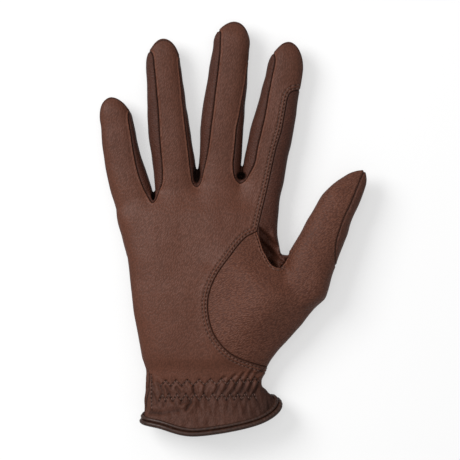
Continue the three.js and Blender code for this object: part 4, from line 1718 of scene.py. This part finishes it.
@dataclass(frozen=True)
class Thread(Finish):
    """Bonded polyester sewing thread: two plies twisted together, dark brown with a faint sheen."""

    name: str = "sewing_thread"
    deep: str = "#3a2820"
    base: str = "#705349"
    ply: float = 0.5
    ply_height: float = 0.06

    def make(self) -> bpy.types.Material:
        """Makes the material.

        Returns:
            The material.
        """
        material, tree, shader, place = self.start()
        plies = add_node(
            tree, "ShaderNodeTexWave", {"bands_direction": "DIAGONAL"},
            {"Vector": place, "Scale": 1 / (self.ply * MM) / (2 * math.pi), "Distortion": 1.0},
        )
        ramp_node = add_node(tree, "ShaderNodeValToRGB", inputs={"Fac": plies.outputs["Fac"]})
        ramp_node.color_ramp.elements[0].color = to_linear(self.deep)
        ramp_node.color_ramp.elements[1].color = to_linear(self.base)
        tree.links.new(ramp_node.outputs["Color"], shader.inputs["Base Color"])
        bump = add_node(
            tree, "ShaderNodeBump",
            inputs={"Height": plies.outputs["Fac"], "Distance": self.ply_height * MM, "Strength": 0.8},
        )
        tree.links.new(bump.outputs[0], shader.inputs["Normal"])
        shader.inputs["Roughness"].default_value = 0.6
        return material


def add_piece(
    name: str, points: Array, faces: Sequence, materials: Sequence[bpy.types.Material],
    nodes: Sequence[str] = (),
) -> bpy.types.Object:
    """Adds a piece of the glove to the scene.

    Args:
        name: The piece's name.
        points: Its points in the drafting frame.
        faces: Its faces, outsides facing out.
        materials: Its materials.
        nodes: The frame's nodes that it stands for.

    Returns:
        The piece.
    """
    mesh = bpy.data.meshes.new(name)
    mesh.from_pydata(((points + DRAFT_TO_FRAME) * MM).tolist(), [], faces)
    mesh.polygons.foreach_set("use_smooth", np.ones(len(mesh.polygons), bool))
    for material in materials:
        mesh.materials.append(material)
    piece = bpy.data.objects.new(name, mesh)
    bpy.context.scene.collection.objects.link(piece)
    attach(piece, BODY)
    if nodes:
        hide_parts(*nodes)
    LOG.info("%s: %d points, %d faces", name, len(mesh.vertices), len(mesh.polygons))
    return piece


@dataclass
class LeatherShell:
    """The glove's leather: eight sewn panels cut from one hand form."""

    form: HandForm = HandForm()
    pattern: Pattern = Pattern()
    edge: CuffEdge = CuffEdge()
    relief: Relief = Relief()
    waves_and_painted_light: WavesAndPaintedLight = WavesAndPaintedLight()
    seam_band: float = 2.4
    gathered: tuple[float, float] = (-18.0, 6.0)
    gathered_height: float = SIDE_SEAM_HEIGHT - 2
    hole_band: float = 0.75
    zigzag_band: float = 1.1
    rim_band: float = 2.6
    row_band: float = 3.6
    shortest: float = 0.3
    seam_reach: float = 6.0
    hole_reach: float = 1.5
    margin: float = 0.1
    at_floor: tuple[float, float] = (-0.5, 0.6)
    sharp_fold: float = 62.0
    skin: Skin | None = None
    labels: Array | None = None
    outer: dict[Panel, Skin] = field(default_factory=dict)

    def cut(self) -> None:
        """Makes the form's surface, finer along seams and folds, and cuts it into panels."""
        skin = Sculptor(self.form).surface()
        cutting = Cutting(self.finer_near_seams(skin))
        keep = cutting.cut("cuff", self.edge.above)
        cutting.skin = Skin(cutting.skin.points, cutting.skin.faces[keep])
        cutting.sides = {}
        self.labels = cutting.panels(self.pattern)
        self.skin = cutting.skin
        LOG.info("surface: %d points, %d faces", len(self.skin.points), len(self.skin.faces))

    def finer_near_seams(self, skin: Skin) -> Skin:
        """Divides the faces near every seam and under the gathers.

        Args:
            skin: The surface.

        Returns:
            The finer surface.
        """
        rough = Cutting(skin)
        labels = rough.panels(self.pattern)
        places = np.vstack([p for _, _, p in self.seam_places(rough.skin, labels)])
        ends, sides = skin.edges()
        middles = skin.points[ends].mean(axis=1)
        close = nearest(places, middles, self.seam_band + self.margin) < self.seam_band
        low, high = self.gathered
        gathered = (middles[:, 1] > low) & (middles[:, 1] < high) & (middles[:, 2] > self.gathered_height)
        finer, _ = skin.split(ends, sides, close | gathered, np.full(len(ends), 0.5))
        return Skin(self.form.project(finer.points, 1), finer.faces)

    def finer_outside(self, holes: Array) -> tuple[Skin, Array]:
        """Divides the faces round the stitches and in the sharpest folds, off the panels' borders.

        Args:
            holes: Points where the needle went through.

        Returns:
            The finer surface and the panel of each of its faces.
        """
        ends, sides = self.skin.edges()
        middles = self.skin.points[ends].mean(axis=1)
        plan = middles[:, :2]
        close = nearest(holes, middles, self.hole_band + self.margin) < self.hole_band
        lines = [(Route(zigzag.corners()), self.zigzag_band) for zigzag in ZIGZAGS]
        lines.append((self.pattern.crotch(), self.rim_band))
        lines += [(self.pattern.gusset(), self.row_band), (self.pattern.index_seam(), self.row_band)]
        sharp = np.any([route.locate(plan)[1] < band for route, band in lines], axis=0)
        sharp &= middles[:, 2] > SIDE_SEAM_HEIGHT
        low, high = lowest_and_highest(self.labels, sides, len(ends))
        long = np.linalg.norm(np.diff(self.skin.points[ends], axis=1)[:, 0], axis=1) > self.shortest
        marked = (close | sharp) & (low == high) & long
        finer, parents = self.skin.split(ends, sides, marked, np.full(len(ends), 0.5))
        added = self.form.project(finer.points[len(self.skin.points) :], 1)
        return Skin(np.vstack([self.skin.points, added]), finer.faces), self.labels[parents]

    @staticmethod
    def seam_places(skin: Skin, labels: Array) -> list[tuple[Panel, Panel, Array]]:
        """Finds the points along every seam.

        Args:
            skin: The surface.
            labels: Each face's panel.

        Returns:
            Two panels and the points of the seam between them, for each pair that meets.
        """
        ends, sides = skin.edges()
        low, high = lowest_and_highest(labels, sides, len(ends))
        border = np.flatnonzero(low != high)
        seams = []
        for a, b in sorted(set(zip(low[border].tolist(), high[border].tolist()))):
            pair = skin.points[ends[(low == a) & (high == b)]]
            seams.append((PANELS[a], PANELS[b], np.vstack([pair[:, 0], pair[:, 1], pair.mean(axis=1)])))
        return seams

    def dress(self, holes: Array) -> None:
        """Sinks the seams, folds the wrist and adds each panel as a shell.

        Args:
            holes: Points where the needle went through.
        """
        places: dict[Seam, list[Array]] = {kind: [np.empty((0, 3))] for kind in Seam}
        for a, b, seam in self.seam_places(self.skin, self.labels):
            places[seam_between(a, b)].append(seam)
        finer, labels = self.finer_outside(holes)
        points = finer.points
        slope = self.form.normals(points)
        normals = slope / np.linalg.norm(slope, axis=1, keepdims=True)
        near = {kind: nearest(np.vstack(seam), points, self.seam_reach) for kind, seam in places.items()}
        pierced = nearest(holes, points, self.hole_reach)
        folds, fold_painted_shade = self.relief.creases(points)
        common = self.waves_and_painted_light.waves(points) + folds + self.relief.hole.beside(pierced)
        # Painted shade: the colour is darkened in the seams, needle holes and folds, on the loose cuff and
        # fingers, and in the crotches
        painted_shade = self.waves_and_painted_light.seam_shade.beside(np.minimum.reduce(list(near.values())))
        painted_shade += self.waves_and_painted_light.hole_shade.beside(pierced) + fold_painted_shade + self.waves_and_painted_light.shade(points, self.form.pits)
        painted_shade = np.clip(painted_shade, 0, 1)
        for number, panel in enumerate(PANELS):
            part, used = finer.part(labels == number)
            inner, inner_used = self.skin.part(self.labels == number)
            here = {kind: distance[used] for kind, distance in near.items()}
            height = np.maximum(self.relief.seams(panel, here) + common[used], self.relief.thinnest - LEATHER)
            height = np.maximum(height, -part.points[:, 2]) * ramp(part.points[:, 2], *self.at_floor)
            self.outer[panel] = Skin(part.points + normals[used] * height[:, None], part.faces)
            rolled = self.waves_and_painted_light.rolled(panel, here)
            backing = Skin(inner.points - normals[inner_used] * LEATHER, inner.faces[:, ::-1])
            self.add_panel(panel, backing, painted_shade[used] * (1 - np.clip(rolled, 0, 1)), rolled)

    def add_panel(self, panel: Panel, backing: Skin, painted_shade: Array, rolled: Array) -> None:
        """Adds a panel as a closed shell.

        Args:
            panel: The panel.
            backing: Its inner surface, whose points lie under the outer one's first ones.
            painted_shade: How much painted shade darkens each outer point's colour, from 0 to 1.
            rolled: How much painted highlight lightens it on a rolled edge, from 0 to 1.
        """
        outer = self.outer[panel]
        count = len(outer.points)
        rim = outer.rim()
        walls = np.hstack([rim[:, ::-1], rim + count])
        faces = outer.faces.tolist() + (backing.faces + count).tolist() + walls.tolist()
        slot, face = PANEL_LOOKS[panel]
        piece = add_piece(
            f"{panel.value}_leather", np.vstack([outer.points, backing.points]), faces,
            [MATERIALS[face], MATERIALS["backing"]], [panel.value],
        )
        inside = np.zeros(len(faces), np.int32)
        inside[len(outer.faces) : len(outer.faces) + len(backing.faces)] = 1
        piece.data.polygons.foreach_set("material_index", inside)
        piece.data.set_sharp_from_angle(angle=math.radians(self.sharp_fold))
        # The leather's colour takes its painted shade and painted highlight from these attributes
        for name, values in (("painted_shade", painted_shade), ("rolled", rolled)):
            layer = piece.data.attributes.new(name, "FLOAT", "POINT")
            every = np.concatenate([values, np.zeros(len(backing.points))])
            layer.data.foreach_set("value", every.astype(np.float32))


def lowest_and_highest(labels: Array, sides: Array, count: int) -> tuple[Array, Array]:
    """Finds the lowest and highest panel number beside each edge.

    Args:
        labels: Each face's panel.
        sides: The three edges of each face.
        count: How many edges there are.

    Returns:
        The lowest and the highest number; on a seam they differ.
    """
    low, high = np.full(count, len(PANELS)), np.full(count, -1)
    for k in range(3):
        np.minimum.at(low, sides[:, k], labels)
        np.maximum.at(high, sides[:, k], labels)
    return low, high


PANEL_LOOKS = {
    Panel.PALM: ("palm_leather", "palm"),
    Panel.BACK: ("back_leather", "back"),
    Panel.LITTLE_RING: ("strip_leather", "strip"),
    Panel.RING_MIDDLE: ("strip_leather", "strip"),
    Panel.MIDDLE_INDEX: ("strip_leather", "strip"),
    Panel.INDEX_SIDE: ("strip_leather", "strip"),
    Panel.THUMB_FRONT: ("palm_leather", "gusset"),
    Panel.THUMB_BACK: ("back_leather", "back"),
}
MATERIALS: dict[str, bpy.types.Material] = {}


def make_materials() -> None:
    """Makes every finish that the glove's pieces take."""
    kind = "embossed_synthetic_leather"
    leathers = {
        "palm": Leather(kind, "#522f21", "#5e3728", "#663c2d", grain_height=0.12),
        "gusset": Leather(f"{kind}_gusset", "#4e2b1e", "#623a2a", "#6f4435", grain_turn=65.0),
        "back": Leather(f"{kind}_back", "#4c2b1e", "#5a3426", "#643b2d"),
        # The strips and the index side take the same leather made darker as painted shade, for their sides
        # that turn away from the light
        "strip": Leather(f"{kind}_strip", "#45261b", "#502c20", "#593427", grain_turn=80.0),
    }
    MATERIALS.update({key: leather.make() for key, leather in leathers.items()})
    MATERIALS["backing"] = Backing().make()
    MATERIALS["piping"] = Piping().make()
    MATERIALS["thread"] = Thread().make()


class Roll(NamedTuple):
    """A roll of the binding: its radius and middle, how much it swells out and how far round it goes."""

    radius: float
    out: float
    down: float
    swell: float
    turn: float
    steps: int


@dataclass(frozen=True)
class CuffBinding:
    """The piped binding that folds over the cuff's edge in two rolls."""

    edge: CuffEdge = CuffEdge()
    steps: int = 420
    rolls: tuple[Roll, ...] = (
        Roll(radius=1.05, out=0.1, down=-1.25, swell=1.15, turn=math.pi, steps=9),
        Roll(radius=1.3, out=-0.15, down=1.05, swell=1.35, turn=1.25 * math.pi, steps=13),
    )
    clearance: float = 0.2
    lip: float = 0.9
    lip_section: tuple[tuple[float, float], ...] = (
        (0.7, 1.4), (1.0, 0.2), (0.7, -1.8), (0.0, -2.2), (0.0, -0.2),
    )
    seat: tuple[tuple[float, float], ...] = ((0.05, -0.2), (0.05, -2.0))
    pucker_pitch: float = 1.9
    pucker_depth: float = 0.16
    pucker_turn: float = 0.45
    pucker_reach: float = 0.8
    ends: tuple[float, float] = (0.12, 3.02)
    end_reach: tuple[float, float] = (0.5, 0.13)
    fullness: float = 0.2
    off_floor: float = 0.05

    def profile(self) -> Array:
        """Section of the binding.

        Returns:
            Closed ring of points, each a distance out of the leather and one down past its edge.
        """
        rings = []
        for roll in self.rolls:
            turn = np.linspace(0, roll.turn, roll.steps)
            out = roll.out + roll.radius * np.sin(turn) * roll.swell
            rings.append(np.stack([out, roll.down - roll.radius * np.cos(turn)], 1))
        inside = -LEATHER - self.clearance
        lip = [(inside - self.lip * share, down) for share, down in self.lip_section]
        return np.vstack([*rings, lip, self.seat])

    @staticmethod
    def apart(turn: Array, other: Array) -> Array:
        """How far two angles lie apart, the shorter way round."""
        return np.abs(np.angle(np.exp(1j * (turn - other))))

    def make(self, form: HandForm) -> None:
        """Adds the binding.

        Args:
            form: The form that the leather follows.
        """
        line = self.edge.line(form, self.steps)
        along = np.roll(line, -1, axis=0) - np.roll(line, 1, axis=0)
        along /= np.linalg.norm(along, axis=1, keepdims=True)
        slope = form.normals(line)
        out = slope - (slope * along).sum(axis=1, keepdims=True) * along
        out /= np.linalg.norm(out, axis=1, keepdims=True)
        down = np.cross(along, out)
        down *= -np.sign(down[:, 1:2])
        profile = self.profile()
        length = np.concatenate([[0], np.cumsum(np.linalg.norm(np.diff(line, axis=0), axis=1))])
        turn = np.arange(self.steps) / self.steps * 2 * math.pi
        flattened = self.pucker_depth * bell(self.apart(turn, self.pucker_turn) / self.pucker_reach)
        pucker = 1 - flattened * (1 + np.cos(2 * math.pi * length / self.pucker_pitch)) / 2
        # The rolls are fuller at the ends of the palm's side, where the binding turns under
        around_ends = self.apart(turn[:, None], np.array(self.ends))
        full = (1 + self.fullness * bell(around_ends / self.end_reach).sum(axis=1))[:, None, None]
        rings = line[:, None, :] + profile[None, :, 0:1] * out[:, None, :] * pucker[:, None, None] * full
        rings = rings + profile[None, :, 1:2] * down[:, None, :] * full
        rings[:, :, 2] = np.maximum(rings[:, :, 2], self.off_floor)
        count = len(profile)
        here = np.arange(self.steps * count).reshape(self.steps, count)
        there, beside = np.roll(here, -1, axis=0), np.roll(here, -1, axis=1)
        faces = np.stack([here, there, np.roll(there, -1, axis=1), beside], -1).reshape(-1, 4).tolist()
        piece = add_piece(
            "cuff_piping", rings.reshape(-1, 3), faces, [MATERIALS["piping"]],
            ["cuff_binding"],
        )
        face_out(piece)


def face_out(piece: bpy.types.Object) -> None:
    """Turns a closed piece's faces outwards.

    Args:
        piece: The piece.
    """
    mesh = piece.data
    co = np.empty(len(mesh.vertices) * 3)
    mesh.vertices.foreach_get("co", co)
    co = co.reshape(-1, 3)
    mesh.calc_loop_triangles()
    corners = np.empty(len(mesh.loop_triangles) * 3, np.int32)
    mesh.loop_triangles.foreach_get("vertices", corners)
    a, b, c = co[corners.reshape(-1, 3)].transpose(1, 0, 2)
    if (a * np.cross(b, c)).sum() < 0:
        mesh.flip_normals()


@dataclass(frozen=True)
class Stitching:
    """Rows of single stitches, each a short bow of thread between two needle holes."""

    shell: LeatherShell
    pitch: float = STITCH_PITCH
    share: float = 0.8
    sides: int = 6
    points_along: int = 5
    row_start: float = 1.5
    row_shift: float = 0.4
    rim_start: float = 2.0
    rim_over: float = 0.95
    wrist_side: tuple[tuple[float, float], ...] = ((-27.9, 3.0), (-27.8, -7.0), (-27.4, -16.5))
    knots: tuple[tuple[float, float], ...] = ((42.3, 60.2), (31.4, 5.4))
    knot_radius: float = 0.8
    knot_stitches: int = 6
    legs: int = 2
    bow: float = 1.25
    sunk: float = 0.8
    thinner_ends: float = 0.45
    above_all: float = 60.0

    def rows(self) -> list[tuple[Array, Array]]:
        """Plan points where every stitch starts and ends.

        Returns:
            Starts and ends, for each row.
        """
        pattern = self.shell.pattern
        lines = []
        for route, sign in ((pattern.gusset(), -1), (pattern.index_seam(), 1)):
            for number, over in enumerate(self.shell.relief.rows):
                start = self.row_start + self.row_shift * number
                lines.append(route.every(self.pitch, start=start, over=sign * over))
        lines.append(pattern.crotch().every(self.pitch, start=self.rim_start, over=-self.rim_over))
        lines.append(Route(np.array(self.wrist_side)).every(self.pitch))
        for knot in self.knots:
            turn = np.linspace(0, 2 * math.pi, self.knot_stitches + 1)
            lines.append(np.array(knot) + self.knot_radius * np.stack([np.cos(turn), np.sin(turn)], 1))
        rows = [(line[:-1], line[1:]) for line in lines]
        for zigzag in ZIGZAGS:
            corners = zigzag.corners()
            steps = np.arange(self.legs)[:, None, None] / self.legs
            legs = corners[1:] - corners[:-1]
            starts = corners[:-1] + steps * legs
            both = (starts, starts + legs / self.legs)
            rows.append(tuple(np.swapaxes(ends, 0, 1).reshape(-1, 2) for ends in both))
        return rows

    def on_surface(self, tree: BVHTree, plan: Array) -> Array:
        """Drops plan points onto the glove's upper side.

        Args:
            tree: The surface.
            plan: Plan points.

        Returns:
            Points on the surface; those that miss it are NaN.
        """
        down = Vector((0, 0, -1))
        hits = [tree.ray_cast(Vector((x, y, self.above_all)), down)[0] for x, y in plan]
        return np.array([hit if hit else (np.nan,) * 3 for hit in hits], float).reshape(-1, 3)

    def holes(self) -> Array:
        """Where the needle goes through the smooth surface.

        Returns:
            The points.
        """
        skin = self.shell.skin
        tree = BVHTree.FromPolygons(skin.points.tolist(), skin.faces.tolist())
        plan = np.vstack([part for row in self.rows() for part in row])
        spots = self.on_surface(tree, plan)
        return spots[~np.isnan(spots[:, 0])]

    def make(self) -> None:
        """Adds the stitches of every row."""
        outer = list(self.shell.outer.values())
        offsets = np.cumsum([0] + [len(skin.points) for skin in outer])
        points = np.vstack([skin.points for skin in outer])
        faces = np.vstack([skin.faces + offset for skin, offset in zip(outer, offsets)])
        tree = BVHTree.FromPolygons(points.tolist(), faces.tolist())
        starts, ends = (np.vstack([row[k] for row in self.rows()]) for k in (0, 1))
        inset = (1 - self.share) / 2
        shares = np.linspace(inset, 1 - inset, self.points_along)
        plan = starts[:, None, :] + shares[None, :, None] * (ends - starts)[:, None, :]
        path = self.on_surface(tree, plan.reshape(-1, 2)).reshape(*plan.shape[:2], 3)
        path = path[~np.isnan(path[:, :, 0]).any(axis=1)]
        bow = np.sin(np.linspace(0, math.pi, self.points_along))
        path[:, :, 2] += THREAD_RADIUS * (self.bow * bow - self.sunk)
        along = path[:, -1] - path[:, 0]
        along /= np.linalg.norm(along, axis=1, keepdims=True)
        side = np.cross(along, (0, 0, 1))
        side /= np.linalg.norm(side, axis=1, keepdims=True)
        up = np.cross(side, along)
        turn = np.arange(self.sides) / self.sides * 2 * math.pi
        radius = THREAD_RADIUS * (1 - self.thinner_ends + self.thinner_ends * bow)
        ring = np.cos(turn)[:, None] * side[:, None, :] + np.sin(turn)[:, None] * up[:, None, :]
        tubes = path[:, :, None, :] + radius[None, :, None, None] * ring[:, None, :, :]
        count, per = len(tubes), self.points_along * self.sides
        faces = []
        for k in range(self.points_along - 1):
            for s in range(self.sides):
                a, b = k * self.sides + s, k * self.sides + (s + 1) % self.sides
                faces.append((a, b, b + self.sides, a + self.sides))
        faces.append(tuple(range(self.sides))[::-1])
        faces.append(tuple(range(per - self.sides, per)))
        every = [tuple(v + n * per for v in face) for n in range(count) for face in faces]
        piece = add_piece("topstitching", tubes.reshape(-1, 3), every, [MATERIALS["thread"]])
        face_out(piece)


class Lamp(NamedTuple):
    """A soft square lamp: where it hangs and its side in metres, and its power in watts."""

    name: str
    place: tuple[float, float, float]
    size: float
    power: float


@dataclass(frozen=True)
class Studio:
    """The pale floor, the soft lights and the camera straight above the palm."""

    frame_width: float = 245.6
    centre: tuple[float, float] = (14.05, 80.1)
    distance: float = 1.8
    silhouette_height: float = 9.0
    floor_reach: float = 3.0
    floor_drop: float = 0.0002
    floor_glow: float = 0.5
    surroundings: float = 0.42
    lamps: tuple[Lamp, ...] = (
        Lamp("key", place=(-0.72, 0.45, 0.85), size=0.65, power=11.0),
        Lamp("overhead", place=(0.05, 0.1, 1.6), size=0.9, power=3.2),
    )

    def floor(self) -> None:
        """Lays the floor."""
        mesh = bpy.data.meshes.new("floor")
        corners = [(x * self.floor_reach, y * self.floor_reach, -self.floor_drop)
                   for x, y in ((-1, -1), (1, -1), (1, 1), (-1, 1))]
        mesh.from_pydata(corners, [], [(0, 1, 2, 3)])
        # An opal acrylic light table, whose glow keeps the shadows faint
        material = bpy.data.materials.new("opal_acrylic")
        material.use_nodes = True
        shader = material.node_tree.nodes["Principled BSDF"]
        shader.inputs["Base Color"].default_value = to_linear("#bcbcbc")
        shader.inputs["Emission Color"].default_value = to_linear("#ffffff")
        shader.inputs["Emission Strength"].default_value = self.floor_glow
        shader.inputs["Roughness"].default_value = 0.9
        mesh.materials.append(material)
        floor = bpy.data.objects.new("floor", mesh)
        bpy.context.scene.collection.objects.link(floor)
        # The glove's flanks stay dark, as they do in front of a far white wall
        floor.visible_diffuse = False
        floor.visible_glossy = False

    def hang(self, lamp: Lamp) -> None:
        """Adds a lamp that faces the glove.

        Args:
            lamp: The lamp.
        """
        light = bpy.data.lights.new(lamp.name, "AREA")
        light.size = lamp.size
        light.energy = lamp.power
        hung = bpy.data.objects.new(lamp.name, light)
        hung.location = lamp.place
        hung.rotation_euler = (-Vector(lamp.place)).to_track_quat("-Z", "Y").to_euler()
        bpy.context.scene.collection.objects.link(hung)

    def make(self) -> None:
        """Sets up floor, lights, surroundings and camera."""
        self.floor()
        for lamp in self.lamps:
            self.hang(lamp)
        world = bpy.data.worlds.new("studio")
        world.use_nodes = True
        background = world.node_tree.nodes["Background"]
        background.inputs["Color"].default_value = to_linear("#ffffff")
        background.inputs["Strength"].default_value = self.surroundings
        bpy.context.scene.world = world
        bpy.context.scene.view_settings.view_transform = "Standard"
        camera = bpy.data.cameras.new("camera")
        camera.sensor_width = 36.0
        reach = self.distance - self.silhouette_height * MM
        camera.lens = camera.sensor_width * reach / (self.frame_width * MM)
        eye = bpy.data.objects.new("camera", camera)
        x, y = (np.array(self.centre) + DRAFT_TO_FRAME[:2]) * MM
        eye.location = (x, y, self.distance)
        bpy.context.scene.collection.objects.link(eye)
        bpy.context.scene.camera = eye


def main() -> None:
    """Builds the glove and its studio."""
    logging.basicConfig(level=logging.INFO, format="%(name)s %(message)s")
    make_materials()
    shell = LeatherShell()
    shell.cut()
    stitching = Stitching(shell)
    shell.dress(stitching.holes())
    CuffBinding().make(shell.form)
    stitching.make()
    Studio().make()


if __name__ == "__main__":
    main()
